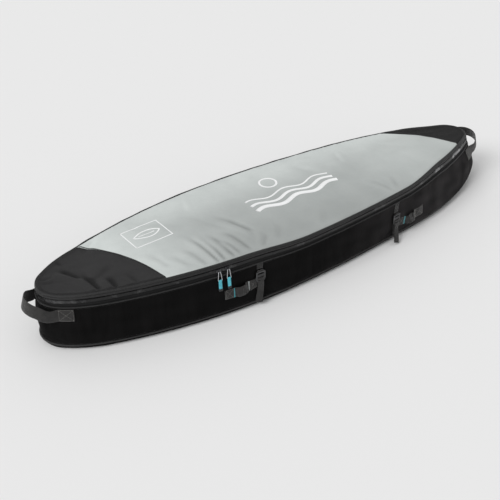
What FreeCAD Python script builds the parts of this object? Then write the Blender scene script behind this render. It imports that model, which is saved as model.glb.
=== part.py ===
import FreeCAD, Part
import math
import os
import re

# Padded travel bag for boards. +X runs from the tail to the nose, -Y is the side with the zip
# sliders, +Z is up, and the origin is on the floor under the middle of the bag. Millimetres.

Vector = FreeCAD.Vector
UP = Vector(0, 0, 1)

DIMENSIONS = [
    # plan outline: three tangent arcs from the widest point to each tip
    ("half_length", 1000),
    ("widest_at", -150),
    ("half_width", 261),
    ("nose_side_radius", 4820),
    ("nose_flank_radius", 1214),
    ("nose_end_radius", 94),
    ("tail_side_radius", 2150),
    ("tail_flank_radius", 440),
    ("tail_end_radius", 96),
    # levels above the floor
    ("floor_top", 20),
    ("wall_top", 168),
    ("teeth_bottom", 184),
    ("teeth_middle", 188),
    ("tape_top", 203),
    ("lid_bottom", 206),
    ("lid_top", 209),
    ("piping_top", 211),
    # layers
    ("fabric", 2.5),
    ("wall_foam_in", 9),
    ("wall_lining_in", 10.5),
    ("bottom_foam_top", 18),
    ("bottom_edge_radius", 12),
    ("lid_foam_bottom", 200),
    ("lid_lining_bottom", 198.5),
    ("tape_out", 1),
    ("tape_in", 3),
    ("teeth_in", 3.8),
    ("teeth_gap", 0.3),
    # piping
    ("piping_out", 4),
    ("piping_in", 5),
    ("piping_size", 8),
    ("seam_piping_size", 5),
    ("seam_piping_out", 2.5),
    # where the lid folds
    ("hinge_across", 200),
    ("hinge_gap", 0.4),
    # where the wall's sections meet
    ("tail_section", -700),
    ("nose_section", 720),
    # curved seams of the lid's end patches
    ("tail_seam_radius", 560),
    ("tail_seam_along", -1178),
    ("tail_seam_across", -240),
    ("nose_seam_radius", 615),
    ("nose_seam_along", 287),
    ("nose_seam_across", -306),
    # compression straps
    ("tail_strap_at", -278),
    ("nose_strap_at", 400),
    ("strap_width", 25),
    ("strap_thickness", 2),
    ("strap_bottom", 25),
    ("strap_top", 112),
    ("tab_bottom", 139.8),
    ("lock_pivot", 138),
    ("lock_pivot_out", 3.4),
    ("lock_bar_radius", 1.7),
    ("lock_eye_radius", 2.1),
    ("lock_eye_outer", 3.2),
    ("lock_width", 38),
    ("lock_cheek", 3.7),
    ("lock_back", 2.6),
    ("lock_thickness", 4),
    ("lock_bottom", 89),
    ("lock_plate_top", 131),
    ("tail_lock_drop", 0),
    ("nose_lock_drop", 24),
    ("lock_slot_width", 27),
    ("lock_slot_height", 5),
    ("lock_slot_low", 104),
    ("lock_slot_high", 116),
    ("strap_end_back", 7),
    ("strap_end_bottom", 10),
    ("strap_end_top", 105),
    ("strap_hem", 10),
    # grab handles
    ("tail_grab_start", -420),
    ("tail_grab_tack", -384),
    ("tail_grab_second_tack", -324),
    ("tail_grab_end", -293),
    ("nose_grab_start", 414),
    ("nose_grab_tack", 444),
    ("nose_grab_second_tack", 508),
    ("nose_grab_end", 560),
    ("grab_width", 40),
    ("tail_grab_bottom", 70),
    ("nose_grab_bottom", 52),
    ("grab_thickness", 2.2),
    ("grab_standoff", 11),
    ("grab_clear", 3),
    # carry loops at the tips
    ("loop_height", 45),
    ("loop_bottom", 118),
    ("loop_radius", 76.5),
    ("loop_thickness", 3),
    ("loop_centre", 978.5),
    ("loop_start", 990),
    ("loop_tilt", 18),
    ("loop_pivot", 966),
    ("anchor_near", 64),
    ("anchor_far", 112),
    # zip sliders, their wire loops and fabric tabs
    ("tail_slider_at", -439),
    ("nose_slider_at", -405),
    ("slider_length", 16),
    ("slider_height", 12),
    ("slider_bottom", 182),
    ("slider_back", 0.6),
    ("slider_thickness", 5),
    ("bridge_length", 4),
    ("bridge_out", 13.4),
    ("pull_pivot", 188),
    ("pull_pivot_out", 11),
    ("pull_hole_radius", 1.3),
    ("pull_wire_radius", 1),
    ("pull_top_half", 4),
    ("pull_low_half", 8),
    ("pull_drop", 34),
    ("tab_width", 12),
    ("tab_length", 43),
    ("tab_thickness", 3),
    ("tab_slot_radius", 1.4),
    ("tab_rise", 3),
    # tie-down straps inside
    ("tail_tie_at", -400),
    ("nose_tie_at", 380),
    ("tie_width", 38),
    ("tie_thickness", 2),
    ("tie_inset", 13),
    ("tie_buckle_length", 60),
    ("tie_buckle_width", 46),
    ("tie_buckle_height", 8),
    # larger than the bag in every direction, for cutting tools
    ("beyond", 1400),
]

doc = FreeCAD.newDocument("board_bag")
sheet = doc.addObject("Spreadsheet::Sheet", "Dimensions")
for row, (alias, value) in enumerate(DIMENSIONS, start=1):
    sheet.set(f"A{row}", alias.replace("_", " "))
    sheet.set(f"B{row}", str(value))
    sheet.setAlias(f"B{row}", alias)
doc.recompute()

subparts = []


def size(alias):
    """The number in the sheet's cell of that name."""
    return float(getattr(sheet, alias))


def expression(words):
    """The same sum with every word written as a cell of the sheet."""
    return re.sub(r"[a-z_]{2,}", lambda word: "Dimensions." + word.group(0), words)


def bind(solid, **sums):
    """Binds properties of an object to sums of sheet cells."""
    for name, words in sums.items():
        solid.setExpression(name.replace("__", "."), expression(words))
    return solid


def subpart(solid, label):
    """Names a finished piece, which is written to a file of that name."""
    solid.Label = label
    subparts.append(solid)
    return solid


# ---------------------------------------------------------------- plan outline


def arc_edge(centre, start, end):
    """The shorter arc round centre from start to end."""
    middle = (start - centre) + (end - centre)
    middle.normalize()
    return Part.Arc(start, centre + middle * (start - centre).Length, end).toShape()


def half_outline(end_name, direction):
    """Edges from the widest point on the -Y side to the tip, and on to the one on the +Y side."""
    side = size(end_name + "_side_radius")
    flank = size(end_name + "_flank_radius")
    end = size(end_name + "_end_radius")
    widest = Vector(size("widest_at"), 0, 0)
    reach = size("half_length") - direction * widest.x
    side_centre = Vector(0, side - size("half_width"), 0)
    end_centre = Vector(reach - end, 0, 0)
    between = end_centre - side_centre
    first, second = side - flank, flank - end
    along = (first**2 - second**2 + between.Length**2) / (2 * between.Length)
    aside = math.sqrt(first**2 - along**2)
    between.normalize()
    flank_centre = side_centre + between * along + Vector(between.y, -between.x, 0) * aside
    points = [Vector(0, -size("half_width"), 0)]
    points.append(side_centre + (flank_centre - side_centre) * (side / first))
    points.append(flank_centre + (end_centre - flank_centre) * (flank / second))
    centres = [side_centre, flank_centre, end_centre]

    def placed(point, mirrored=1):
        return Vector(widest.x + direction * point.x, mirrored * point.y, 0)

    edges = []
    for mirrored in (1, -1):
        for i in (0, 1):
            edges.append(arc_edge(placed(centres[i], mirrored), placed(points[i], mirrored),
                                  placed(points[i + 1], mirrored)))
    tip = Vector(direction * size("half_length"), 0, 0)
    edges.append(Part.Arc(placed(points[2]), tip, placed(points[2], -1)).toShape())
    return edges


outline = doc.addObject("Part::Feature", "Outline")
edges = half_outline("nose", 1) + half_outline("tail", -1)
outline.Shape = Part.Wire(Part.__sortEdges__(edges))


def slab(outward, bottom, top):
    """The outline grown by outward and raised from bottom to top, all sums of sheet cells."""
    profile = outline
    if outward != "0":
        profile = doc.addObject("Part::Offset2D", "Profile")
        profile.Source = outline
        bind(profile, Value=outward)
    solid = doc.addObject("Part::Extrusion", "Slab")
    solid.Base = profile
    solid.DirMode = "Custom"
    solid.Dir = UP
    solid.Solid = True
    return bind(solid, LengthFwd=f"{top} - ({bottom})", Placement__Base__z=bottom)


def box(length, width, height, at):
    """A block of that size with its low corner at that place, all sums of sheet cells."""
    solid = doc.addObject("Part::Box", "Block")
    bind(solid, Length=length, Width=width, Height=height)
    return bind(solid, Placement__Base__x=at[0], Placement__Base__y=at[1], Placement__Base__z=at[2])


def cylinder(radius, height, at, axis=UP):
    """A cylinder from that place along axis."""
    solid = doc.addObject("Part::Cylinder", "Round")
    solid.Placement = FreeCAD.Placement(Vector(), FreeCAD.Rotation(UP, axis))
    bind(solid, Radius=radius, Height=height)
    return bind(solid, Placement__Base__x=at[0], Placement__Base__y=at[1], Placement__Base__z=at[2])


def cut(base, tool):
    solid = doc.addObject("Part::Cut", "Cut")
    solid.Base = base
    solid.Tool = tool
    return solid


def common(base, tool):
    solid = doc.addObject("Part::Common", "Common")
    solid.Base = base
    solid.Tool = tool
    return solid


def fuse(*solids):
    joined = doc.addObject("Part::MultiFuse", "Joined")
    joined.Shapes = list(solids)
    return joined


def held(solid):
    """A compound of one solid, so that it can be placed again as a whole."""
    compound = doc.addObject("Part::Compound", "Held")
    compound.Links = [solid]
    return compound


def ring(outer, inner, bottom, top):
    """A band round the whole bag between two offsets of the outline."""
    return cut(slab(outer, bottom, top), slab(inner, bottom, top))


def between_x(low, high):
    """Everything whose X is between two sums."""
    return box(f"{high} - ({low})", "2 * beyond", "2 * beyond", (low, "-beyond", "-beyond"))


def in_front():
    """Everything on the zip's side of the lid's fold."""
    return box("2 * beyond", "beyond + hinge_across - hinge_gap", "2 * beyond",
               ("-beyond", "-beyond", "-beyond"))


def behind():
    """Everything behind the lid's fold."""
    return box("2 * beyond", "beyond", "2 * beyond", ("-beyond", "hinge_across + hinge_gap", "-beyond"))


def rounded_below(solid, radius_name):
    """Fillets the edges round the underside."""
    doc.recompute()
    flat = 0.01
    chosen = []
    for number, edge in enumerate(solid.Shape.Edges, start=1):
        if edge.BoundBox.ZMax < flat:
            chosen.append((number, size(radius_name), size(radius_name)))
    fillet = doc.addObject("Part::Fillet", "Rounded")
    fillet.Base = solid
    fillet.Edges = chosen
    return fillet


# ---------------------------------------------------------------- bottom

subpart(
    cut(
        rounded_below(slab("0", "0", "floor_top"), "bottom_edge_radius"),
        slab("-2 * fabric", "fabric", "floor_top"),
    ),
    "bottom_panel",
)
subpart(slab("-2 * fabric", "fabric", "bottom_foam_top"), "bottom_foam")
subpart(slab("-2 * fabric", "bottom_foam_top", "floor_top"), "bottom_lining")
subpart(
    ring("piping_out", "0", "floor_top - piping_size / 2", "floor_top + piping_size / 2"),
    "bottom_piping",
)

# ---------------------------------------------------------------- side wall

wall_sections = {
    "tail_wall": box("beyond", "2 * beyond", "beyond", ("tail_section - beyond", "-beyond", "0")),
    "front_wall": box("nose_section - tail_section", "beyond", "beyond",
                      ("tail_section", "-beyond", "0")),
    "rear_wall": box("nose_section - tail_section", "beyond", "beyond", ("tail_section", "0", "0")),
    "nose_wall": box("beyond", "2 * beyond", "beyond", ("nose_section", "-beyond", "0")),
}
for name, section in wall_sections.items():
    subpart(common(ring("0", "-fabric", "floor_top", "wall_top"), section), name)
subpart(ring("-fabric", "-wall_foam_in", "floor_top", "wall_top"), "wall_foam")
subpart(ring("-wall_foam_in", "-wall_lining_in", "floor_top", "wall_top"), "wall_lining")
subpart(
    common(ring("seam_piping_out", "0", "wall_top - seam_piping_size", "wall_top"), in_front()),
    "wall_seam_piping",
)

# ---------------------------------------------------------------- zip and lid

subpart(common(ring("-tape_out", "-tape_in", "wall_top", "teeth_bottom"), in_front()), "lower_zip_tape")
subpart(common(ring("0", "-teeth_in", "teeth_bottom", "teeth_middle"), in_front()), "lower_zip_teeth")
subpart(
    common(ring("0", "-teeth_in", "teeth_middle + teeth_gap", "teeth_middle + teeth_gap + 4"), in_front()),
    "upper_zip_teeth",
)
subpart(
    common(ring("-tape_out", "-tape_in", "teeth_middle + teeth_gap + 4", "tape_top"), in_front()),
    "upper_zip_tape",
)

lid_piping_ring = ring("piping_out", "-piping_in", "tape_top", "piping_top")
subpart(common(lid_piping_ring, in_front()), "lid_piping")
subpart(common(lid_piping_ring, behind()), "rear_piping")
subpart(common(ring("0", "-fabric", "wall_top", "tape_top"), behind()), "rear_band")
subpart(common(slab("-piping_in", "tape_top", "lid_top"), behind()), "rear_lid_strip")

lid_sheet = common(slab("-piping_in", "lid_bottom", "lid_top"), in_front())
tail_seam = cylinder("tail_seam_radius", "beyond", ("tail_seam_along", "tail_seam_across", "0"))
nose_seam = cylinder("nose_seam_radius", "beyond", ("nose_seam_along", "nose_seam_across", "0"))
tail_area = between_x("-beyond", "0")
nose_area = between_x("0", "beyond")
subpart(common(common(lid_sheet, tail_area), tail_seam), "lid_tail_patch")
subpart(cut(common(lid_sheet, nose_area), nose_seam), "lid_nose_patch")
subpart(
    fuse(cut(common(lid_sheet, tail_area), tail_seam), common(common(lid_sheet, nose_area), nose_seam)),
    "lid_centre_panel",
)
subpart(common(slab("-piping_in", "lid_foam_bottom", "lid_bottom"), in_front()), "lid_foam")
subpart(common(slab("-piping_in", "lid_lining_bottom", "lid_foam_bottom"), in_front()), "lid_lining")

# ---------------------------------------------------------------- pieces on the wall


def wall_patch(low, high, bottom, top, thickness):
    """Webbing sewn flat on the front wall between two places along the bag."""
    band = ring(thickness, "0", bottom, top)
    return common(band, box(f"{high} - ({low})", "beyond", "beyond", (low, "-beyond", "0")))


def wall_frame(along):
    """The front wall at that place: +X along it to the nose, -Y out of it."""
    end_name = "nose" if along > size("widest_at") else "tail"
    radius = size(end_name + "_side_radius")
    offset = along - size("widest_at")
    across = radius - size("half_width") - math.sqrt(radius**2 - offset**2)
    turn = FreeCAD.Rotation(UP, math.degrees(math.asin(offset / radius)))
    return FreeCAD.Placement(Vector(along, across, 0), turn)


def on_wall(solid, along):
    """Puts a piece made at the origin on the front wall."""
    solid.Placement = wall_frame(along)
    return solid


def mirrored(solid, label):
    """The same piece on the rear wall."""
    copy = doc.addObject("Part::Mirroring", "Mirrored")
    copy.Source = solid
    copy.Normal = Vector(0, 1, 0)
    return subpart(copy, label)


def strap_tab(along, drop):
    """Webbing from the wall's upper seam, with an eye at its lower end round the lock's bar."""
    flat = wall_patch(f"{along} - strap_width / 2", f"{along} + strap_width / 2",
                      f"tab_bottom - {drop}", "wall_top - seam_piping_size", "strap_thickness")
    at = ("-strap_width / 2", "-lock_pivot_out", f"lock_pivot - {drop}")
    eye = cut(cylinder("lock_eye_outer", "strap_width", at, Vector(1, 0, 0)),
              cylinder("lock_eye_radius", "strap_width", at, Vector(1, 0, 0)))
    return fuse(flat, on_wall(eye, size(along)))


def ladder_lock(along, drop):
    """Plastic lock: a bar held by two cheeks, and a plate with two slots for the strap."""
    back = "-lock_back - lock_thickness"
    bar_at = ("-lock_width / 2", "-lock_pivot_out", f"lock_pivot - {drop}")
    bar = cylinder("lock_bar_radius", "lock_width", bar_at, Vector(1, 0, 0))
    plate = box("lock_width", "lock_thickness", "lock_plate_top - lock_bottom",
                ("-lock_width / 2", back, f"lock_bottom - {drop}"))
    cheek_height = "lock_pivot + 2 - lock_plate_top"
    cheek_bottom = f"lock_plate_top - {drop}"
    low_cheek = box("lock_cheek", "lock_thickness", cheek_height, ("-lock_width / 2", back, cheek_bottom))
    high_cheek = box("lock_cheek", "lock_thickness", cheek_height,
                     ("lock_width / 2 - lock_cheek", back, cheek_bottom))
    slots = [
        box("lock_slot_width", "lock_thickness", "lock_slot_height",
            ("-lock_slot_width / 2", back, f"{level} - {drop}"))
        for level in ("lock_slot_low", "lock_slot_high")
    ]
    return on_wall(cut(cut(fuse(bar, plate, low_cheek, high_cheek), slots[0]), slots[1]), size(along))


def strap_end(along, drop):
    """The strap's free end, which hangs in front of the strap, with a hem folded to its back."""
    end = box("strap_width", "strap_thickness", f"strap_end_top - {drop} - strap_end_bottom",
              ("-strap_width / 2", "-strap_end_back - strap_thickness", "strap_end_bottom"))
    hem = box("strap_width", "strap_thickness", "strap_hem",
              ("-strap_width / 2", "-strap_end_back", "strap_end_bottom"))
    return on_wall(fuse(end, hem), size(along))


for place in ("tail", "nose"):
    along = place + "_strap_at"
    drop = place + "_lock_drop"
    pieces = {
        "strap_tab": strap_tab(along, drop),
        "strap": wall_patch(f"{along} - strap_width / 2", f"{along} + strap_width / 2",
                            "strap_bottom", f"strap_top - {drop}", "strap_thickness"),
        "ladder_lock": ladder_lock(along, drop),
        "strap_end": strap_end(along, drop),
    }
    for name, solid in pieces.items():
        subpart(solid, f"front_{place}_{name}")
        mirrored(solid, f"rear_{place}_{name}")


def grab_handle(first, second, bottom):
    """The free part of a grab handle, which bows away from the wall between its bar tacks."""
    length = f"{second} - ({first}) - 2 * grab_clear"
    strip = box(length, "grab_thickness", "grab_width",
                (f"-({length}) / 2", "-grab_standoff - grab_thickness", bottom))
    return on_wall(held(strip), (size(first) + size(second)) / 2)


grab_anchors = []
for place in ("tail", "nose"):
    tacks = (place + "_grab_tack", place + "_grab_second_tack")
    bottom = place + "_grab_bottom"
    for low, high in ((place + "_grab_start", tacks[0]), (tacks[1], place + "_grab_end")):
        grab_anchors.append(wall_patch(low, high, bottom, bottom + " + grab_width", "grab_thickness"))
    handle = subpart(grab_handle(*tacks, bottom), f"front_{place}_grab_handle")
    mirrored(handle, f"rear_{place}_grab_handle")
mirrored(subpart(fuse(*grab_anchors), "front_grab_anchors"), "rear_grab_anchors")


# ---------------------------------------------------------------- carry loops


def carry_loop(direction):
    """A U of webbing that stands out beyond the tip and leans up."""
    at = (f"{direction} * loop_centre", "0", "loop_bottom")
    band = cut(cylinder("loop_radius", "loop_height", at),
               cylinder("loop_radius - loop_thickness", "loop_height", at))
    low = "loop_start" if direction > 0 else "-loop_start - beyond"
    loop = common(band, box("beyond", "2 * beyond", "beyond", (low, "-beyond", "0")))
    turn = FreeCAD.Rotation(Vector(0, 1, 0), -direction * size("loop_tilt"))
    pivot = Vector(direction * size("loop_pivot"), 0, size("loop_bottom") + size("loop_height") / 2)
    loop.Placement = FreeCAD.Placement(Vector(), turn, pivot)
    return loop


def loop_anchors(direction):
    """The loop's two ends, sewn flat on the wall each side of the tip."""
    band = ring("loop_thickness", "0", "loop_bottom", "loop_bottom + loop_height")
    low = "0" if direction > 0 else "-beyond"
    width = "anchor_far - anchor_near"
    near = common(band, box("beyond", width, "beyond", (low, "-anchor_far", "0")))
    far = common(band, box("beyond", width, "beyond", (low, "anchor_near", "0")))
    return fuse(near, far)


for place, direction in (("tail", -1), ("nose", 1)):
    subpart(carry_loop(direction), place + "_loop")
    subpart(loop_anchors(direction), place + "_loop_anchors")

# ---------------------------------------------------------------- zip sliders


def slider():
    """The slider's face and the bridge that holds the wire loop."""
    face = box("slider_length", "slider_thickness", "slider_height",
               ("-slider_length / 2", "-slider_back - slider_thickness", "slider_bottom"))
    bridge = box("bridge_length", "bridge_out - slider_back", "slider_height - 4",
                 ("-bridge_length / 2", "-bridge_out", "slider_bottom + 2"))
    hole = cylinder("pull_hole_radius", "bridge_length",
                    ("-bridge_length / 2", "-pull_pivot_out", "pull_pivot"), Vector(1, 0, 0))
    return cut(fuse(face, bridge), hole)


def wire_loop():
    """A wire loop, wider below, whose top bar turns in the slider's bridge."""
    across = Vector(1, 0, 0)
    top = cylinder("pull_wire_radius", "2 * pull_top_half", ("-pull_top_half", "-pull_pivot_out", "pull_pivot"),
                   across)
    low = cylinder("pull_wire_radius", "2 * pull_low_half",
                   ("-pull_low_half", "-pull_pivot_out", "pull_pivot - pull_drop"), across)
    solids = [top, low]
    spread = size("pull_low_half") - size("pull_top_half")
    length = math.hypot(spread, size("pull_drop"))
    for side in (-1, 1):
        leg = doc.addObject("Part::Cylinder", "Leg")
        leg.Height = length
        bind(leg, Radius="pull_wire_radius")
        start = Vector(side * size("pull_top_half"), -size("pull_pivot_out"), size("pull_pivot"))
        down = Vector(side * spread, 0, -size("pull_drop"))
        leg.Placement = FreeCAD.Placement(start, FreeCAD.Rotation(UP, down))
        solids.append(leg)
        for level in (size("pull_pivot"), size("pull_pivot") - size("pull_drop")):
            corner = doc.addObject("Part::Sphere", "Corner")
            bind(corner, Radius="pull_wire_radius")
            reach = size("pull_top_half") if level == size("pull_pivot") else size("pull_low_half")
            corner.Placement.Base = Vector(side * reach, -size("pull_pivot_out"), level)
            solids.append(corner)
    return fuse(*solids)


def pull_tab():
    """The fabric tab on the wire loop's lower bar."""
    strip = box("tab_width", "tab_thickness", "tab_length",
                ("-tab_width / 2", "-pull_pivot_out - tab_thickness / 2",
                 "pull_pivot - pull_drop + tab_rise - tab_length"))
    slot = cylinder("tab_slot_radius", "tab_width",
                    ("-tab_width / 2", "-pull_pivot_out", "pull_pivot - pull_drop"), Vector(1, 0, 0))
    return cut(strip, slot)


for place in ("tail", "nose"):
    along = size(place + "_slider_at")
    subpart(on_wall(slider(), along), place + "_slider")
    subpart(on_wall(wire_loop(), along), place + "_pull_wire")
    subpart(on_wall(pull_tab(), along), place + "_pull_tab")

# ---------------------------------------------------------------- tie-downs inside

for place in ("tail", "nose"):
    along = place + "_tie_at"
    strip = common(
        slab("-tie_inset", "floor_top", "floor_top + tie_thickness"),
        box("tie_width", "2 * beyond", "beyond", (f"{along} - tie_width / 2", "-beyond", "0")),
    )
    subpart(strip, place + "_tie_down")
    buckle = box("tie_buckle_width", "tie_buckle_length", "tie_buckle_height",
                 (f"{along} - tie_buckle_width / 2", "-tie_buckle_length / 2", "floor_top + tie_thickness"))
    subpart(buckle, place + "_tie_buckle")

# ---------------------------------------------------------------- check and write

doc.recompute()
for item in doc.Objects:
    if "Invalid" in item.State or "Error" in item.State:
        raise RuntimeError(f"{item.Name} ({item.Label}) failed: {item.State}")
for solid in subparts:
    if solid.Shape.isNull() or not solid.Shape.isValid() or not solid.Shape.Solids:
        raise RuntimeError(f"{solid.Label} has no valid solid")
os.makedirs("parts", exist_ok=True)
for solid in subparts:
    solid.Shape.exportStep(f"parts/{solid.Label}.step")
    print(f"{solid.Label}: {solid.Shape.Volume / 1000:.1f} cm3, {len(solid.Shape.Solids)} solid(s)")
print(len(subparts), "sub-parts")
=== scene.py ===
import math

import bmesh
import bpy
import numpy as np
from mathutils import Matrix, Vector, geometry
from mathutils.bvhtree import BVHTree


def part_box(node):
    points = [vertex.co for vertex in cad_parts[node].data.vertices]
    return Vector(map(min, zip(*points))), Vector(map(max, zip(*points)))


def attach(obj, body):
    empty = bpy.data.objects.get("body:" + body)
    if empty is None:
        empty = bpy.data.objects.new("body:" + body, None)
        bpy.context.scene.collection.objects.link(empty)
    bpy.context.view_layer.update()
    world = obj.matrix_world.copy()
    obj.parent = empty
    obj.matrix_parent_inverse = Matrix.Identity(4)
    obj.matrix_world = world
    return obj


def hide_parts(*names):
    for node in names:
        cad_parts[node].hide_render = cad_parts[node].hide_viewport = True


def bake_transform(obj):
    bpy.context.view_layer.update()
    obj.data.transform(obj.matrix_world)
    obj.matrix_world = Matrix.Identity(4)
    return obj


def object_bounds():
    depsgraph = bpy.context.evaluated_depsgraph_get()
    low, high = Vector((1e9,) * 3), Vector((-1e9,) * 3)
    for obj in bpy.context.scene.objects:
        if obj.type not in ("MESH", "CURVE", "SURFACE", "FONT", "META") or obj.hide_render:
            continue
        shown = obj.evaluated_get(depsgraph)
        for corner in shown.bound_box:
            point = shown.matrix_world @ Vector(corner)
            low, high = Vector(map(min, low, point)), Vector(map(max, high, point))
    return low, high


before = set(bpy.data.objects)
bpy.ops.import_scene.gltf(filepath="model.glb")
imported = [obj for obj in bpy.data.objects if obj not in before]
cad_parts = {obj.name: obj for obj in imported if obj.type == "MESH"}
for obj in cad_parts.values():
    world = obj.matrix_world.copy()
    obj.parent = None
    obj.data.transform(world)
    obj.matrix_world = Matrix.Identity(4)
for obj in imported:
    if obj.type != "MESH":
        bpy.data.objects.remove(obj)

# A padded travel bag for boards. +X runs from the tail to the nose, -Y is the front with the zip
# sliders, +Z is up. "t" is a place round the outline: 0 at the tail tip, 1 at the nose tip by the
# front, 2 at the tail tip again by the rear. "out" is a distance outward from the outline.

cad_low, cad_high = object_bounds()

# ---------------------------------------------------------------- sizes

HALF_LENGTH = 1.0
HALF_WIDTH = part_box("bottom_panel")[1].y
WIDEST_X = -0.150
NOSE_RADII = (4.820, 1.214, 0.094)
TAIL_RADII = (2.150, 0.440, 0.096)

FLOOR_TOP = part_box("bottom_lining")[1].z
WALL_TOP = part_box("front_wall")[1].z
ZIP_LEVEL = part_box("lower_zip_teeth")[1].z
TAPE_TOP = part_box("upper_zip_tape")[1].z
LID_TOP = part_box("lid_centre_panel")[1].z
PIPING_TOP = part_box("lid_piping")[1].z
HINGE_Y = (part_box("lid_lining")[1].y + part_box("rear_lid_strip")[0].y) / 2
LINING_IN = -0.0108

# How finely the wall, the edges and the linings are divided, and the spacing of the lid's points.
ROUND_STEPS = 640
EDGE_STEPS = 900
LINING_STEPS = 480
WALL_ROWS = 22
SHEET_SPACING = 0.0078


# ---------------------------------------------------------------- outline


def smooth(value):
    """0 below 0, 1 above 1, and smooth between."""
    value = np.clip(value, 0.0, 1.0)
    return value * value * (3 - 2 * value)


def tangent_arcs(radii, reach):
    """Three tangent arcs from the widest point to the tip: centres and the points where they meet."""
    side, flank, end = radii
    side_centre = np.array([0.0, side - HALF_WIDTH])
    end_centre = np.array([reach - end, 0.0])
    between = end_centre - side_centre
    span = np.linalg.norm(between)
    first, second = side - flank, flank - end
    along = (first**2 - second**2 + span**2) / (2 * span)
    aside = math.sqrt(first**2 - along**2)
    between = between / span
    flank_centre = side_centre + between * along + np.array([between[1], -between[0]]) * aside
    start = np.array([0.0, -HALF_WIDTH])
    joint = side_centre + (flank_centre - side_centre) * (side / first)
    second_joint = flank_centre + (end_centre - flank_centre) * (flank / second)
    tip = np.array([reach, 0.0])
    return [(side_centre, start, joint), (flank_centre, joint, second_joint), (end_centre, second_joint, tip)]


def sample_arc(centre, start, end, steps):
    """Points along an arc and the directions away from its centre."""
    first = math.atan2(*(start - centre)[::-1])
    last = math.atan2(*(end - centre)[::-1])
    angles = np.linspace(first, last, steps)
    away = np.stack([np.cos(angles), np.sin(angles)], 1)
    return centre + away * np.linalg.norm(start - centre), away


def half_outline(radii, direction):
    """Dense points and outward directions from the widest point to a tip along the front."""
    points, normals = [], []
    for centre, start, end in tangent_arcs(radii, HALF_LENGTH - direction * WIDEST_X):
        where, away = sample_arc(centre, start, end, 400)
        points.append(where)
        normals.append(away)
    points = np.concatenate(points)
    normals = np.concatenate(normals)
    points[:, 0] = WIDEST_X + direction * points[:, 0]
    normals[:, 0] *= direction
    return points, normals


nose_points, nose_normals = half_outline(NOSE_RADII, 1)
tail_points, tail_normals = half_outline(TAIL_RADII, -1)
FRONT = np.concatenate([tail_points[::-1], nose_points])
FRONT_OUT = np.concatenate([tail_normals[::-1], nose_normals])
steps_between = np.linalg.norm(np.diff(FRONT, axis=0), axis=1)
FRONT_T = np.concatenate([[0.0], np.cumsum(steps_between)])
ROUND_LENGTH = 2 * FRONT_T[-1]
FRONT_T /= FRONT_T[-1]


def outline_at(t):
    """Places and outward directions of the outline at t."""
    t = np.asarray(t, float) % 2.0
    rear = t > 1
    u = np.where(rear, 2 - t, t)
    sign = np.where(rear, -1.0, 1.0)
    place, out = (np.stack([np.interp(u, FRONT_T, line[:, 0]), sign * np.interp(u, FRONT_T, line[:, 1])], -1)
                  for line in (FRONT, FRONT_OUT))
    return place, out / np.linalg.norm(out, axis=-1, keepdims=True)


def t_at(x, side="front"):
    """The place round the outline with that X, on the front or the rear."""
    t = np.interp(x, FRONT[:, 0], FRONT_T)
    return t if side == "front" else 2 - t


def half_width_at(x):
    """From the middle line to the outline at that X."""
    return -np.interp(x, FRONT[:, 0], FRONT[:, 1])


def height_share(z):
    """0 at the bottom seam, 1 at the wall's top."""
    return np.clip((np.asarray(z) - FLOOR_TOP) / (WALL_TOP - FLOOR_TOP), 0.0, 1.0)


def lid_rise(x):
    """How much higher the lid's edge lies than in the CAD: the ends of the soft bag curl up a little."""
    tail = 0.0095 * smooth((-x - 0.05) / 0.28) + 0.0010 * smooth((-x - 0.80) / 0.16)
    return tail + 0.0100 * smooth((x - 0.46) / 0.25)


def lid_lean(x):
    """How far the lid's edge leans in over the wall."""
    tail = 0.0150 * smooth((-x - 0.05) / 0.28) - 0.0080 * smooth((-x - 0.80) / 0.18)
    return tail + 0.0210 * smooth((x - 0.46) / 0.25)


def wall_bulge(x, share):
    """How far the wall stands out near the nose, where the boards fill it."""
    return smooth((x - 0.35) / 0.5) * (0.013 + 0.012 * np.sin(math.pi * share)) * (1 - share**3)


def settle(points, out, fade=1.0):
    """The bag's lie. out is each point's outward direction, and fade how much it leans."""
    points = np.array(points, float)
    x, z = points[..., 0], points[..., 2]
    share = height_share(z)
    upper = np.clip((z - WALL_TOP) / (LID_TOP - WALL_TOP), 0.0, 1.0)
    lean = lid_lean(x) * (0.35 * share + 0.65 * upper) - wall_bulge(x, share)
    points[..., 0] -= lean * out[..., 0] * fade
    points[..., 1] -= lean * out[..., 1] * fade
    points[..., 2] += share * lid_rise(x)
    return points


def nearest_edge(points):
    """Each flat point's distance inside the outline, and the outward direction at its nearest place."""
    dense, normals = outline_at(np.linspace(0, 2, 900, endpoint=False))
    best = np.full(len(points), 1e9)
    nearest = np.zeros(len(points), int)
    for start in range(0, len(dense), 100):
        gaps = np.linalg.norm(points[:, None, :] - dense[None, start:start + 100, :], axis=2)
        which = gaps.argmin(1)
        gap = gaps[np.arange(len(points)), which]
        nearest = np.where(gap < best, which + start, nearest)
        best = np.minimum(best, gap)
    return best, normals[nearest]


def round_places(t, out, z):
    """Points at t, that far out and that high, after the bag has settled."""
    place, normal = outline_at(t)
    flat = place + normal * np.asarray(out)[..., None]
    points = np.concatenate([flat, np.broadcast_to(np.asarray(z, float), flat.shape[:-1])[..., None]], -1)
    return settle(points, normal)


# ---------------------------------------------------------------- mesh helpers


def new_object(name, points, faces, material=None, shade_smooth=True):
    """An object at the origin whose mesh has those points and faces."""
    mesh = bpy.data.meshes.new(name)
    mesh.from_pydata([tuple(p) for p in points], [], faces)
    mesh.validate()
    mesh.update()
    if shade_smooth:
        mesh.polygons.foreach_set("use_smooth", [True] * len(mesh.polygons))
    obj = bpy.data.objects.new(name, mesh)
    bpy.context.scene.collection.objects.link(obj)
    if material is not None:
        mesh.materials.append(material)
    return obj


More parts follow.
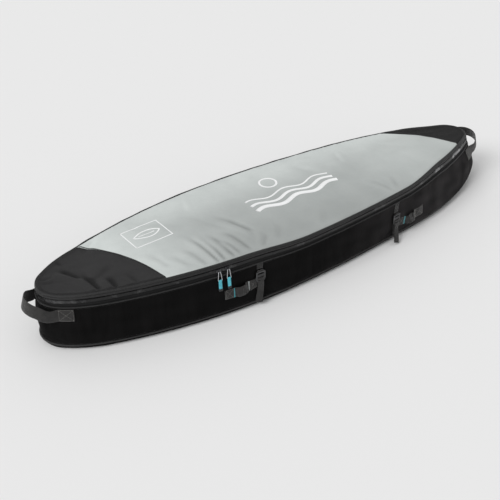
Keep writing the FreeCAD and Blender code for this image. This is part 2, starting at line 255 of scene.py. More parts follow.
def grid_faces(rows, columns, closed_rows=False, closed_columns=False):
    """Quads between the points of a grid that is stored row by row."""
    faces = []
    for r in range(rows if closed_rows else rows - 1):
        for c in range(columns if closed_columns else columns - 1):
            a = r * columns + c
            b = r * columns + (c + 1) % columns
            d = ((r + 1) % rows) * columns + c
            e = ((r + 1) % rows) * columns + (c + 1) % columns
            faces.append((a, b, e, d))
    return faces


def tube_faces(rows, sides, closed=False, first=0):
    """The skin of a tube whose sections are stored one after another from that point on, and its ends."""
    faces = grid_faces(rows, sides, closed_rows=closed, closed_columns=True)
    if not closed:
        faces.append(tuple(range(sides))[::-1])
        faces.append(tuple(range((rows - 1) * sides, rows * sides)))
    return [tuple(i + first for i in face) for face in faces]


def coordinates(obj):
    """The object's points, one per row."""
    found = np.zeros(len(obj.data.vertices) * 3)
    obj.data.vertices.foreach_get("co", found)
    return found.reshape(-1, 3)


def set_coordinates(obj, points):
    """Moves the object's points there."""
    obj.data.vertices.foreach_set("co", np.asarray(points, float).ravel())
    obj.data.update()


def swept_band(name, profile, material, wander=0.0):
    """A band right round the bag, whose section is (out, z) pairs round a closed outline."""
    t = ring_steps(EDGE_STEPS)
    drift = smooth_noise(t * ROUND_LENGTH / 2, 0.09, wander)
    lift = smooth_noise(t * ROUND_LENGTH / 2 + 40, 0.13, wander)
    lines = [round_places(t, out + drift, z + lift) for out, z in profile]
    points = np.stack(lines, 1).reshape(-1, 3)
    return new_object(name, points, tube_faces(EDGE_STEPS, len(profile), closed=True), material)


def smooth_noise(along, wavelength, size):
    """A smooth wander along a line, the same on each run."""
    phases = (0.3, 1.9, 4.1)
    total = sum(np.sin(along * 2 * math.pi / (wavelength * f) + p) for f, p in zip((1, 1.7, 2.9), phases))
    return total * size / 2


def circle_profile(out, z, radius, sides=8):
    """A cord's section."""
    return [(out + radius * math.cos(a), z + radius * math.sin(a))
            for a in np.linspace(0, 2 * math.pi, sides, endpoint=False)]


def ring_steps(count=ROUND_STEPS):
    """Even places t right round the bag."""
    return np.linspace(0, 2, count, endpoint=False)


def tree_of(obj):
    """A search tree of the object's surface as it is now."""
    points = [Vector(p) for p in coordinates(obj)]
    return BVHTree.FromPolygons(points, [tuple(p.vertices) for p in obj.data.polygons])


def drape(obj, pinned, frames, pressure=0.0, gravity=0.0, shrink=0.0, cap=0.01, stiffness=12.0,
          bending=0.4, bed=None):
    """Runs a cloth simulation on the object, keeps its result and no modifier.
    pinned is a weight per vertex, and no point moves further than cap."""
    start = coordinates(obj)
    group = obj.vertex_groups.new(name="pinned")
    for index in np.nonzero(pinned > 0)[0]:
        group.add([int(index)], float(pinned[index]), "REPLACE")
    cloth = obj.modifiers.new("cloth", "CLOTH")
    settings = cloth.settings
    settings.quality = 5
    settings.mass = 0.25
    settings.vertex_group_mass = group.name
    settings.tension_stiffness = stiffness
    settings.compression_stiffness = stiffness
    settings.shear_stiffness = stiffness / 3
    settings.bending_stiffness = bending
    settings.shrink_min = shrink
    settings.air_damping = 2.0
    if pressure:
        settings.use_pressure = True
        settings.uniform_pressure_force = pressure
    settings.effector_weights.gravity = gravity
    cloth.collision_settings.use_collision = bed is not None
    cloth.collision_settings.distance_min = 0.002
    if bed is not None:
        bed.modifiers.new("bed", "COLLISION")
    cloth.point_cache.frame_start = 1
    cloth.point_cache.frame_end = frames
    for step in range(1, frames + 1):
        bpy.context.scene.frame_set(step)
    settled = obj.evaluated_get(bpy.context.evaluated_depsgraph_get()).to_mesh()
    end = np.zeros(len(settled.vertices) * 3)
    settled.vertices.foreach_get("co", end)
    end = end.reshape(-1, 3)
    obj.modifiers.remove(cloth)
    obj.vertex_groups.remove(group)
    moved = end - start
    length = np.linalg.norm(moved, axis=1, keepdims=True)
    moved *= cap * np.tanh(length / cap) / np.maximum(length, 1e-9)
    set_coordinates(obj, start + moved)
    bpy.context.scene.frame_set(1)


# ---------------------------------------------------------------- materials


TONE = "tone"


def set_tone(obj, values):
    """Keep a tone for each point of a mesh: 1 leaves its cloth as it is. The tones hold painted light, shade
    and glints, and on the wall and bottom also dusty patches.
    """
    held = obj.data.attributes.new(TONE, "FLOAT", "POINT")
    held.data.foreach_set("value", np.ascontiguousarray(values, dtype=np.float32))


class Look:
    """A material, and short ways to add nodes to it."""

    def __init__(self, name, color, roughness, metallic=0.0, sheen=0.0, specular=0.5):
        self.material = bpy.data.materials.new(name)
        self.material.use_nodes = True
        self.nodes = self.material.node_tree.nodes
        self.shader = self.nodes["Principled BSDF"]
        self.set(self.shader, {"Base Color": color, "Roughness": roughness, "Metallic": metallic,
                               "Specular IOR Level": specular, "Sheen Weight": sheen, "Sheen Roughness": 0.4})

    def set(self, node, values):
        """Gives a node's inputs numbers, colors or other nodes' outputs."""
        for name, value in values.items():
            if isinstance(value, tuple):
                node.inputs[name].default_value = (*value, 1)
            elif isinstance(value, (int, float)):
                node.inputs[name].default_value = value
            else:
                self.material.node_tree.links.new(value, node.inputs[name])
        return node

    def add(self, kind, values):
        """A new node with those inputs."""
        return self.set(self.nodes.new("ShaderNode" + kind), values)

    def where(self):
        """The place on the object."""
        return self.add("TexCoord", {}).outputs["Object"]

    def math(self, operation, *values):
        """The result of an operation on numbers or other nodes' outputs."""
        node = self.nodes.new("ShaderNodeMath")
        node.operation = operation
        return self.set(node, dict(enumerate(values))).outputs[0]

    def noise(self, place, scale, detail, roughness):
        """Noise from 0 to 1."""
        values = {"Scale": scale, "Detail": detail, "Roughness": roughness, "Vector": place}
        return self.add("TexNoise", values).outputs["Fac"]

    def weave(self, place, pitch):
        """Crossing threads of a plain weave, from -1 to 1."""
        turns = 2 * math.pi / pitch
        axes = self.add("SeparateXYZ", {0: place}).outputs
        waves = [self.math("SINE", self.math("MULTIPLY", axis, turns)) for axis in axes]
        across = self.math("ADD", waves[1], waves[2])
        return self.math("MULTIPLY", waves[0], across)

    def mix(self, share, first, second):
        """The first color at 0 and the second at 1."""
        node = self.nodes.new("ShaderNodeMix")
        node.data_type = "RGBA"
        return self.set(node, {"Factor": share, 6: first, 7: second}).outputs[2]

    def by_tone(self, color):
        """The color times the tone that the mesh holds."""
        held = self.add("Attribute", {})
        held.attribute_name = TONE
        scaled = self.nodes.new("ShaderNodeVectorMath")
        scaled.operation = "SCALE"
        return self.set(scaled, {0: color, "Scale": held.outputs["Fac"]}).outputs[0]

    def ramp(self, value, low, high):
        """0 up to low, 1 from high on."""
        return self.add("MapRange", {"Value": value, "From Min": low, "From Max": high}).outputs["Result"]

    def relief(self, height, strength, distance, under=None):
        """Relief for the shader, on top of the relief under it."""
        values = {"Strength": strength, "Distance": distance, "Height": height}
        if under is not None:
            values["Normal"] = under
        made = self.add("Bump", values).outputs["Normal"]
        self.set(self.shader, {"Normal": made})
        return made

    def finish(self, color, roughness=None):
        """Gives the shader its color and, if there is one, its varying roughness."""
        self.set(self.shader, {"Base Color": color})
        if roughness is not None:
            self.set(self.shader, {"Roughness": roughness})


def fabric(name, dark, light, roughness, pitch, weave_depth=0.00025, crumple=0.0006, sheen=0.2,
           specular=0.4, toned=False):
    """Woven cloth: threads, a faint crumple, and lighter rubbed and dusty areas.
    A toned cloth is lightened or darkened by the tone that its mesh holds: painted light and shade."""
    look = Look(name, dark, roughness, sheen=sheen, specular=specular)
    where = look.where()
    threads = look.weave(where, pitch)
    cloudy = look.noise(where, 7.0, 4.0, 0.6)
    fine = look.noise(where, 420.0, 2.0, 0.7)
    patchy = look.math("ADD", look.math("MULTIPLY", cloudy, 0.65), look.math("MULTIPLY", fine, 0.35))
    shade = look.mix(look.ramp(patchy, 0.32, 0.68), dark, light)
    between = tuple(0.55 * c for c in dark)
    color = look.mix(look.math("MULTIPLY_ADD", threads, 0.05, 0.12), shade, between)
    look.finish(look.by_tone(color) if toned else color,
                look.math("MULTIPLY_ADD", cloudy, 0.22, roughness - 0.11))
    under = look.relief(look.noise(where, 26.0, 3.0, 0.55), 0.5, crumple)
    look.relief(threads, 0.6, weave_depth, under)
    return look.material


def webbing(name, dark, light, rib=0.0018):
    """Ribbed webbing: ribs run across the strap, over a finer twill."""
    look = Look(name, dark, 0.62, sheen=0.25, specular=0.35)
    axes = look.add("SeparateXYZ", {0: look.add("UVMap", {}).outputs["UV"]}).outputs
    turns = 2 * math.pi / rib
    along, across = (look.math("SINE", look.math("MULTIPLY", axes[i], turns)) for i in (1, 0))
    twill = look.math("MULTIPLY_ADD", look.math("MULTIPLY", along, across), 0.6,
                      look.math("MULTIPLY", along, 0.4))
    dust = look.noise(look.where(), 60.0, 4.0, 0.6)
    look.finish(look.mix(look.ramp(look.math("MULTIPLY_ADD", twill, 0.18, dust), 0.3, 0.85), dark, light))
    look.relief(twill, 0.7, 0.0004)
    return look.material


def plastic(name, dark, light, roughness=0.42, glint_and_scuff_scale=90.0, toned=False):
    """Moulded plastic with a fine texture and light patches: scuffs, and on the zip teeth painted glints."""
    look = Look(name, dark, roughness)
    where = look.where()
    grain = look.noise(where, 900.0, 2.0, 0.6)
    scuff_and_glint = look.noise(where, glint_and_scuff_scale, 6.0, 0.75)
    color = look.mix(look.ramp(scuff_and_glint, 0.5, 0.75), dark, light)
    look.finish(look.by_tone(color) if toned else color,
                look.math("MULTIPLY_ADD", scuff_and_glint, 0.3, roughness - 0.15))
    look.relief(grain, 0.35, 0.0002)
    return look.material


def metal(name, color, roughness=0.22):
    """Plated metal with fine brushing."""
    look = Look(name, color, roughness, metallic=1.0)
    marks = look.noise(look.where(), 260.0, 5.0, 0.7)
    darker = tuple(0.72 * c for c in color)
    look.finish(look.mix(look.ramp(marks, 0.4, 0.8), color, darker),
                look.math("MULTIPLY_ADD", marks, 0.3, roughness - 0.12))
    look.relief(marks, 0.2, 0.0001)
    return look.material


def ink(name, color):
    """A flat screen print, thin enough to show the cloth's threads."""
    look = Look(name, color, 0.5, specular=0.35)
    where = look.where()
    worn = look.noise(where, 130.0, 6.0, 0.8)
    thin = tuple(0.86 * c for c in color)
    look.finish(look.mix(look.ramp(worn, 0.55, 0.8), color, thin))
    look.relief(look.weave(where, 0.0022), 0.5, 0.0002)
    return look.material


CLOTH_BLACK = fabric("cloth_black", (0.0042, 0.0039, 0.0040), (0.0105, 0.0098, 0.0100), 0.84, 0.0026,
                     sheen=0.0, specular=0.10, toned=True)
CLOTH_PATCH = fabric("cloth_patch", (0.0120, 0.0118, 0.0122), (0.0225, 0.0220, 0.0225), 0.62, 0.0026,
                     sheen=0.03, specular=0.24, toned=True)
CLOTH_LID = fabric("cloth_lid", (0.455, 0.485, 0.475), (0.545, 0.575, 0.562), 0.46, 0.0024,
                   weave_depth=0.00012, sheen=0.08, specular=0.45, crumple=0.0010, toned=True)
CLOTH_BINDING = fabric("cloth_binding", (0.0060, 0.0060, 0.0062), (0.0160, 0.0158, 0.0160), 0.46, 0.0016,
                       sheen=0.04, specular=0.40)
CLOTH_TAPE = fabric("cloth_zip_tape", (0.0045, 0.0045, 0.0047), (0.011, 0.011, 0.0112), 0.7, 0.0014,
                    sheen=0.02, specular=0.2)
CLOTH_LINING = fabric("cloth_lining", (0.075, 0.080, 0.088), (0.11, 0.116, 0.125), 0.55, 0.0020)
STRAP_BLACK = webbing("strap_black", (0.0085, 0.0080, 0.0078), (0.030, 0.0285, 0.0275))
STRAP_TEAL = webbing("strap_teal", (0.060, 0.40, 0.50), (0.16, 0.62, 0.72), rib=0.0015)
THREAD_BLACK = fabric("thread_black", (0.016, 0.016, 0.017), (0.045, 0.045, 0.046), 0.5, 0.0008)
THREAD_GREY = fabric("thread_grey", (0.17, 0.16, 0.15), (0.30, 0.29, 0.275), 0.55, 0.0008)
THREAD_PALE = fabric("thread_pale", (0.42, 0.46, 0.46), (0.62, 0.66, 0.66), 0.5, 0.0008)
THREAD_TEAL = fabric("thread_teal", (0.07, 0.40, 0.46), (0.18, 0.60, 0.66), 0.5, 0.0008)
# The zip teeth's pale patches are painted glints, made brighter towards the nose by their tone.
TEETH = plastic("zip_teeth", (0.016, 0.016, 0.017), (0.55, 0.55, 0.56), 0.16, glint_and_scuff_scale=11.0, toned=True)
LOCK = plastic("lock_plastic", (0.010, 0.010, 0.011), (0.035, 0.035, 0.037), 0.30)
# Painted highlight: the lock's rim and ridges are a paler grey than the lock, where its edges catch the light.
LOCK_RIM_PAINTED_HIGHLIGHT = plastic("lock_rim_painted_highlight", (0.075, 0.075, 0.078), (0.24, 0.24, 0.245), 0.26)
SLIDER_PAINT = plastic("slider_paint", (0.012, 0.012, 0.014), (0.09, 0.09, 0.095), 0.26)
WIRE = metal("plated_wire", (0.66, 0.67, 0.69))
PRINT = ink("print_white", (0.88, 0.89, 0.89))


# ---------------------------------------------------------------- riding


def ride(obj, body, slot, *nodes):
    """A piece that moves with one body, and stands for those CAD nodes."""
    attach(obj, body)
    if nodes:
        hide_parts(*nodes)
    return obj


def ride_lid(obj, slot, *nodes):
    """A piece whose place is baked into its mesh, standing for those CAD nodes."""
    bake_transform(obj)
    if nodes:
        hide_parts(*nodes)
    return obj


# ---------------------------------------------------------------- stage


WORLD_LIGHT = 0.60
SUN_LIGHT = 2.0
SUN_FROM = (-0.74, -0.10, 0.66)
FLOOR_SIZE = 60.0
FLOOR_GREY = (0.80, 0.80, 0.80)
CAMERA_AT = (-1.8066, -2.3205, 2.0124)
CAMERA_AZIMUTH = math.radians(-35.73)
CAMERA_ELEVATION = math.radians(34.73)
CAMERA_LENS = 65.1


def make_stage():
    """Pale floor, soft light and the camera."""
    world = bpy.data.worlds.new("studio")
    bpy.context.scene.world = world
    world.use_nodes = True
    world.node_tree.nodes["Background"].inputs[0].default_value = (1.0, 1.0, 1.0, 1)
    world.node_tree.nodes["Background"].inputs[1].default_value = WORLD_LIGHT
    half = FLOOR_SIZE / 2
    corners = [(-half, -half, 0), (half, -half, 0), (half, half, 0), (-half, half, 0)]
    floor = new_object("studio_floor", corners, [(0, 1, 2, 3)], shade_smooth=False)
    floor.data.materials.append(Look("studio_floor", FLOOR_GREY, 0.9, specular=0.1).material)
    sun = bpy.data.lights.new("soft_sun", "SUN")
    sun.energy = SUN_LIGHT
    sun.angle = math.radians(32)
    sun_object = bpy.data.objects.new("soft_sun", sun)
    bpy.context.scene.collection.objects.link(sun_object)
    sun_object.rotation_euler = Vector(SUN_FROM).to_track_quat("Z", "Y").to_euler()
    camera = bpy.data.objects.new("camera", bpy.data.cameras.new("camera"))
    bpy.context.scene.collection.objects.link(camera)
    camera.data.lens = CAMERA_LENS
    camera.data.sensor_width = 36.0
    level = math.cos(CAMERA_ELEVATION)
    back = Vector((math.sin(CAMERA_AZIMUTH) * level, -math.cos(CAMERA_AZIMUTH) * level,
                   math.sin(CAMERA_ELEVATION)))
    camera.location = CAMERA_AT
    camera.rotation_mode = "QUATERNION"
    camera.rotation_quaternion = (-back).to_track_quat("-Z", "Y")
    bpy.context.scene.camera = camera
    bpy.context.scene.view_settings.view_transform = "Standard"


# ---------------------------------------------------------------- side wall

# The X of each compression strap.
STRAPS = {place: sum(corner.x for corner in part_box(f"front_{place}_strap")) / 2 for place in ("tail", "nose")}
# How far the wall is held in under a strap, and along the stretch where the zip's pulls may hang.
STRAP_DENT = 0.007
PULLS_FROM = -0.86
PULLS_TO = -0.29
PULL_DENT = 0.0065


def strap_dent(x):
    """How far the tight straps pull the wall in at that X."""
    pull = 0.0
    for at in STRAPS.values():
        pull = pull + np.exp(-((np.asarray(x) - at) / 0.052) ** 2)
    return pull


def wall_out(x, z):
    """How far the wall stands out before it drapes: full between its seams, held in at the straps."""
    middle = np.sin(math.pi * height_share(z))
    full = 0.0065 * middle ** 0.8
    x = np.asarray(x)
    behind_pulls = smooth((x - PULLS_FROM) / 0.06) * smooth((PULLS_TO - x) / 0.06)
    return full - (STRAP_DENT * strap_dent(x) + PULL_DENT * behind_pulls) * middle


def make_wall():
    """The side wall's cloth, blown out between its seams, held by the straps and the loops' ends."""
    t = ring_steps()
    levels = np.linspace(FLOOR_TOP - 0.002, WALL_TOP + 0.001, WALL_ROWS)
    place, _ = outline_at(t)
    points = np.concatenate([round_places(t, wall_out(place[:, 0], z), z) for z in levels])
    wall = new_object("side_wall", points, grid_faces(WALL_ROWS, len(t), closed_columns=True), CLOTH_BLACK)
    row = np.repeat(np.arange(WALL_ROWS), len(t))
    x = points[:, 0]
    pinned = np.where((row < 1) | (row > WALL_ROWS - 2), 1.0, 0.0)
    for at in STRAPS.values():
        pinned = np.maximum(pinned, np.where(np.abs(x - at) < 0.021, 1.0, 0.0))
    for anchors in ("tail_loop_anchors", "nose_loop_anchors"):
        low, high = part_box(anchors)
        inside = (x > low.x) & (x < high.x) & (points[:, 2] > low.z) & (points[:, 2] < high.z)
        pinned = np.maximum(pinned, np.where(inside, 0.6, 0.0))
    drape(wall, pinned, frames=22, pressure=1.2, gravity=0.4, shrink=-0.012, cap=0.012, bending=0.25)
    set_coordinates(wall, coordinates(wall) + wall_creases(coordinates(wall), np.tile(t, WALL_ROWS)))
    set_tone(wall, wall_painted_light_and_dust(coordinates(wall)))
    return wall


def wall_painted_light_and_dust(points):
    """The wall's cloth is painted darkest at the tail and lighter towards the nose: painted light. It is also
    lighter towards the floor, and has dusty patches.
    """
    x, _, z = points.T
    dust = np.sin(19 * x + 30 * z) * np.sin(31 * x - 45 * z + 1.3)
    dust = dust + 0.6 * np.sin(53 * x + 70 * z) * np.sin(24 * x - 60 * z + 0.4)
    # Painted light along the bag, and a lighter band near the floor.
    fade = 0.42 + 3.1 * smooth((x + 0.05) / 0.75) + 0.25 * smooth((0.05 - z) / 0.04)
    return fade * (1 + 0.30 * dust)


def wall_creases(points, t):
    """Soft upright creases, deepest near the tips and beside the straps."""
    x, _, z = points.T
    along = t * ROUND_LENGTH / 2
    middle = np.sin(math.pi * height_share(z))
    near_tips = smooth((np.abs(x) - 0.55) / 0.4)
    lean = along + 0.25 * (z - 0.1) * np.sin(along * 3.1)
    depth = 0.0016 * np.sin(lean * 2 * math.pi / 0.083) + 0.0012 * np.sin(lean * 2 * math.pi / 0.137 + 1.0)
    push = depth * middle * (0.35 + 0.9 * near_tips + 0.6 * strap_dent(x))
    _, out = outline_at(t)
    return np.stack([out[:, 0] * push, out[:, 1] * push, 0 * z], 1)


class Surface:
    """The finished wall, for pieces that lie on it."""

    def __init__(self, wall):
        self.tree = tree_of(wall)

    def at(self, t, z, out=0.0):
        """The point on the wall at t and z, moved that far off it, and the wall's direction there."""
        place, normal = outline_at(t)
        normal = Vector((*normal, 0.0))
        middle = Vector(settle(np.array([*place, z]), np.array(normal)[:2]))
        start = Vector((place[0], place[1], middle.z)) + normal * 0.09
        hit, face, _, _ = self.tree.ray_cast(start, -normal)
        if hit is None:
            hit, face = middle, normal
        if face.dot(normal) < 0:
            face = -face
        return hit + face * out, face


# ---------------------------------------------------------------- straps and stitching


# Half of a strap's section, with soft edges: shares of its half width and of its half thickness.
STRAP_ACROSS = np.array([-1.0, -0.94, -0.5, 0.0, 0.5, 0.94, 1.0])
STRAP_RISE = np.array([0.25, 0.85, 1.0, 1.0, 1.0, 0.85, 0.25])


def steps_along(centres):
    """From the place before to the place after, at each place of a path."""
    last = len(centres) - 1
    return [centres[min(i + 1, last)] - centres[max(i - 1, 0)] for i in range(last + 1)]


def ribbon(name, centres, sides, normals, width, thickness, material):
    """A strap along centres. sides point across it, normals out of its face, all per station."""
    across = STRAP_ACROSS * width / 2
    rise = STRAP_RISE * thickness / 2
    section = list(zip(across, rise)) + list(zip(across[::-1], -rise[::-1]))
    centres, sides, normals = (np.array([tuple(v) for v in row], float) for row in (centres, sides, normals))
    points = np.stack([centres + sides * a + normals * r for a, r in section], 1)
    rows = len(centres)
    obj = new_object(name, points.reshape(-1, 3), tube_faces(rows, len(section)), material)
    along = np.concatenate([[0.0], np.cumsum(np.linalg.norm(np.diff(centres, axis=0), axis=1))])
    layer = obj.data.uv_layers.new(name="strap")
    place = np.array([[a, along[r]] for r in range(rows) for a, _ in section])
    corners = np.zeros(len(obj.data.loops), int)
    obj.data.loops.foreach_get("vertex_index", corners)
    layer.data.foreach_set("uv", place[corners].ravel())
    return obj


def wall_ribbon(name, surface, path, width, thickness, material, out=0.0004):
    """A strap that lies on the wall along (t, z) pairs."""
    centres, normals = [], []
    for t, z in path:
        point, face = surface.at(t, z, out + thickness / 2)
        centres.append(point)
        normals.append(face)
    sides = [step.cross(normal).normalized() for step, normal in zip(steps_along(centres), normals)]
    return ribbon(name, centres, sides, normals, width, thickness, material)


# A stitch's sections, as shares of its length and size, and each section's five corners.
STITCH_SECTIONS = ((0.0, 0.35), (0.18, 0.9), (0.5, 1.0), (0.82, 0.9), (1.0, 0.35))
STITCH_CORNERS = ((1, 0), (0.6, 1), (-0.6, 1), (-1, 0), (0, -0.8))


def stitch_mesh(name, stitches, material, thickness=0.0007):
    """Threads as short raised bars: each stitch is two end points and the direction off the cloth."""
    points, faces = [], []
    for start, end, up in stitches:
        start, end, up = Vector(start), Vector(end), Vector(up)
        along = end - start
        side = along.cross(up).normalized() * thickness / 2
        tilt = up.normalized() * thickness / 2
        first = len(points)
        for share, size in STITCH_SECTIONS:
            middle = start + along * share
            for a, b in STITCH_CORNERS:
                points.append(middle + side * a * size + tilt * b * size)
        faces += tube_faces(len(STITCH_SECTIONS), len(STITCH_CORNERS), first=first)
    return new_object(name, points, faces, material)


def stitch_line(surface, path, out, pitch=0.0045, fill=0.62):
    """Stitches along (t, z) pairs on the wall."""
    places = [surface.at(t, z, out) for t, z in path]
    stitches = []
    for (a, face_a), (b, face_b) in zip(places, places[1:]):
        length = (b - a).length
        count = max(1, round(length / pitch))
        for i in range(count):
            share = i / count
            stitches.append((a.lerp(b, share), a.lerp(b, (i + fill) / count), face_a.lerp(face_b, share)))
    return stitches


def box_and_cross(surface, t_low, t_high, z_low, z_high, out):
    """The stitched box with a cross that holds a strap's end."""
    corners = [(t_low, z_low), (t_high, z_low), (t_high, z_high), (t_low, z_high), (t_low, z_low)]
    found = []
    cross = [(corners[0], corners[2]), (corners[1], corners[3])]
    steps = 4
    for (t0, z0), (t1, z1) in [*zip(corners, corners[1:]), *cross]:
        path = [(t0 + (t1 - t0) * i / steps, z0 + (z1 - z0) * i / steps) for i in range(steps + 1)]
        found += stitch_line(surface, path, out)
    return found


def bar_tack(surface, t, z_low, z_high, out, width=0.0035):
    """A dense zigzag across a strap."""
    count = max(6, round((z_high - z_low) / 0.0011))
    per_metre = 2 / ROUND_LENGTH
    found = []
    for i in range(count):
        z = z_low + (z_high - z_low) * i / count
        a, face = surface.at(t - width / 2 * per_metre, z, out)
        b, _ = surface.at(t + width / 2 * per_metre, z + 0.0009, out)
        found.append((a, b, face))
    return found


def extruded_plate(name, loops, thickness, rounding, frame_at, material):
    """A moulded plate: 2D loops, the first its edge and the rest its holes, rounded at the edges.
    frame_at turns (along, up, out) into a place."""
    curve = bpy.data.curves.new(name, "CURVE")
    curve.dimensions = "2D"
    curve.fill_mode = "BOTH"
    curve.extrude = thickness / 2 - rounding
    curve.bevel_depth = rounding
    curve.bevel_resolution = 2
    for loop in loops:
        spline = curve.splines.new("POLY")
        spline.points.add(len(loop) - 1)
        for point, (u, v) in zip(spline.points, loop):
            point.co = (u, v, 0, 1)
        spline.use_cyclic_u = True
    holder = bpy.data.objects.new(name + "_curve", curve)
    bpy.context.scene.collection.objects.link(holder)
    mesh = bpy.data.meshes.new_from_object(holder.evaluated_get(bpy.context.evaluated_depsgraph_get()))
    bpy.data.objects.remove(holder)
    obj = bpy.data.objects.new(name, mesh)
    bpy.context.scene.collection.objects.link(obj)
    local = coordinates(obj)
    set_coordinates(obj, [frame_at(u, v, w) for u, v, w in local])
    mesh.materials.clear()
    mesh.materials.append(material)
    weld(obj, 1e-5)
    mesh.polygons.foreach_set("use_smooth", [True] * len(mesh.polygons))
    mesh.set_sharp_from_angle(angle=math.radians(40))
    return obj


def weld(obj, distance):
    """Joins points that lie that near, and turns the faces outward."""
    work = bmesh.new()
    work.from_mesh(obj.data)
    bmesh.ops.remove_doubles(work, verts=work.verts, dist=distance)
    bmesh.ops.recalc_face_normals(work, faces=work.faces)
    work.to_mesh(obj.data)
    work.free()


def rounded_loop(corners, radius, steps=5):
    """A polygon with rounded corners."""
    found = []
    count = len(corners)
    for i in range(count):
        before, here, after = (np.array(corners[(i + k) % count], float) for k in (-1, 0, 1))
        first = here + (before - here) / np.linalg.norm(before - here) * radius
        last = here + (after - here) / np.linalg.norm(after - here) * radius
        for share in np.linspace(0, 1, steps):
            found.append(tuple((1 - share) ** 2 * first + 2 * share * (1 - share) * here + share**2 * last))
    return found


def wire_tube(name, path, radius, material, closed=False, sides=10):
    """A round wire along points."""
    path = [Vector(p) for p in path]
    count = len(path)
    points = []
    previous = None
    for i, here in enumerate(path):
        before = path[i - 1] if i or closed else here
        after = path[(i + 1) % count] if i < count - 1 or closed else here
        along = (after - before).normalized()
        side = previous if previous is not None else along.orthogonal()
        side = (side - along * side.dot(along)).normalized()
        previous = side
        up = along.cross(side)
        for k in range(sides):
            angle = 2 * math.pi * k / sides
            points.append(here + (side * math.cos(angle) + up * math.sin(angle)) * radius)
    return new_object(name, points, tube_faces(count, sides, closed), material)


# ---------------------------------------------------------------- lid

# The end patches' seams are arcs: centre and radius. The lid's cloth ends inside the piping.
TAIL_SEAM = ((-1.178, -0.240), 0.560)
NOSE_SEAM = ((0.287, -0.306), 0.615)
LID_EDGE_OUT = -0.0045


def inside_sheet(margin):
    """Points of an even triangular grid inside the outline, that far from its edge."""
    spacing = SHEET_SPACING
    rows = np.arange(-HALF_WIDTH, HALF_WIDTH, spacing * math.sqrt(3) / 2)
    found = []
    for number, y in enumerate(rows):
        xs = np.arange(-HALF_LENGTH, HALF_LENGTH, spacing) + (number % 2) * spacing / 2
        found.append(np.stack([xs, np.full(len(xs), y)], 1))
    points = np.concatenate(found)
    room = half_width_at(points[:, 0]) - np.abs(points[:, 1])
    points = points[(room > 0) & (np.abs(points[:, 0]) < HALF_LENGTH)]
    return points[nearest_edge(points)[0] > margin]


def seam_points(seam, out_edge):
    """Points along a seam, a circle's arc, where it crosses the sheet."""
    (cx, cy), radius = seam
    angles = np.linspace(-math.pi / 2, math.pi / 2, 900)
    points = np.stack([cx + radius * np.cos(angles), cy + radius * np.sin(angles)], 1)
    half = half_width_at(points[:, 0]) + out_edge
    points = points[np.abs(points[:, 1]) < half - 0.002]
    step = max(1, round(SHEET_SPACING / (radius * math.pi / 900)))
    return points[::step]


def flat_sheet(edge_out):
    """The lid's flat cloth as one triangle mesh with its two seams as edges."""
    spacing = SHEET_SPACING
    count = int(ROUND_LENGTH / spacing)
    place, out = outline_at(np.linspace(0, 2, count, endpoint=False))
    edge = place + out * edge_out
    seams = [seam_points(s, edge_out) for s in (TAIL_SEAM, NOSE_SEAM)]
    inner = inside_sheet(spacing * 0.75 - edge_out)
    for seam in seams:
        gap = np.linalg.norm(inner[:, None, :] - seam[None, :, :], axis=2).min(1)
        inner = inner[gap > spacing * 0.55]
    points = [Vector(p) for p in edge]
    edges = [(i, (i + 1) % count) for i in range(count)]
    for seam in seams:
        first = len(points)
        points += [Vector(p) for p in seam]
        edges += [(first + i, first + i + 1) for i in range(len(seam) - 1)]
    points += [Vector(p) for p in inner]
    made = geometry.delaunay_2d_cdt(points, edges, [list(range(count))], 1, 1e-7)
    flat = np.array([tuple(p) for p in made[0]])
    faces = [tuple(f) for f in made[2]]
    return flat, faces


def lid_crown(x, y):
    """The lid's gentle rise towards its middle before it drapes."""
    half = np.maximum(half_width_at(np.clip(x, -0.999, 0.999)), 0.03)
    share = np.clip(1 - (y / half) ** 2, 0, 1)
    return 0.0035 * share ** 0.7


# Folds of the lid's cloth: start, end, height and half width. Each has a hollow on its right.
FOLDS = [
    ((-0.437, -0.240), (-0.450, -0.020), 0.0100, 0.0092),
    ((-0.414, -0.240), (-0.408, -0.030), 0.0082, 0.0088),
    ((-0.376, -0.236), (-0.388, -0.050), 0.0090, 0.0100),
    ((-0.305, -0.232), (-0.338, -0.060), 0.0078, 0.0110),
    ((-0.226, -0.140), (-0.322, 0.032), 0.0060, 0.0130),
    ((-0.239, -0.155), (-0.276, -0.030), 0.0058, 0.0110),
    ((-0.255, -0.230), (-0.200, -0.140), 0.0050, 0.0100),
    ((-0.345, -0.232), (-0.360, -0.110), 0.0056, 0.0080),
    ((-0.480, -0.225), (-0.510, -0.070), 0.0056, 0.0110),
    ((-0.530, -0.190), (-0.575, -0.090), 0.0036, 0.0120),
    ((-0.591, -0.150), (-0.635, -0.030), 0.0046, 0.0130),
    ((-0.300, -0.080), (-0.420, 0.090), 0.0030, 0.0160),
    ((-0.180, -0.210), (-0.120, -0.110), 0.0026, 0.0120),
    ((0.020, -0.215), (0.080, -0.120), 0.0022, 0.0130),
    ((0.385, -0.200), (0.350, -0.090), 0.0034, 0.0110),
    ((0.415, -0.195), (0.450, -0.090), 0.0030, 0.0110),
    ((-0.560, 0.165), (-0.480, 0.090), 0.0028, 0.0140),
    ((-0.300, 0.200), (-0.330, 0.100), 0.0026, 0.0120),
    ((0.220, 0.170), (0.300, 0.060), 0.0022, 0.0180),
    ((0.420, 0.150), (0.400, 0.060), 0.0028, 0.0130),
    ((0.600, 0.130), (0.740, 0.000), 0.0018, 0.0160),
]
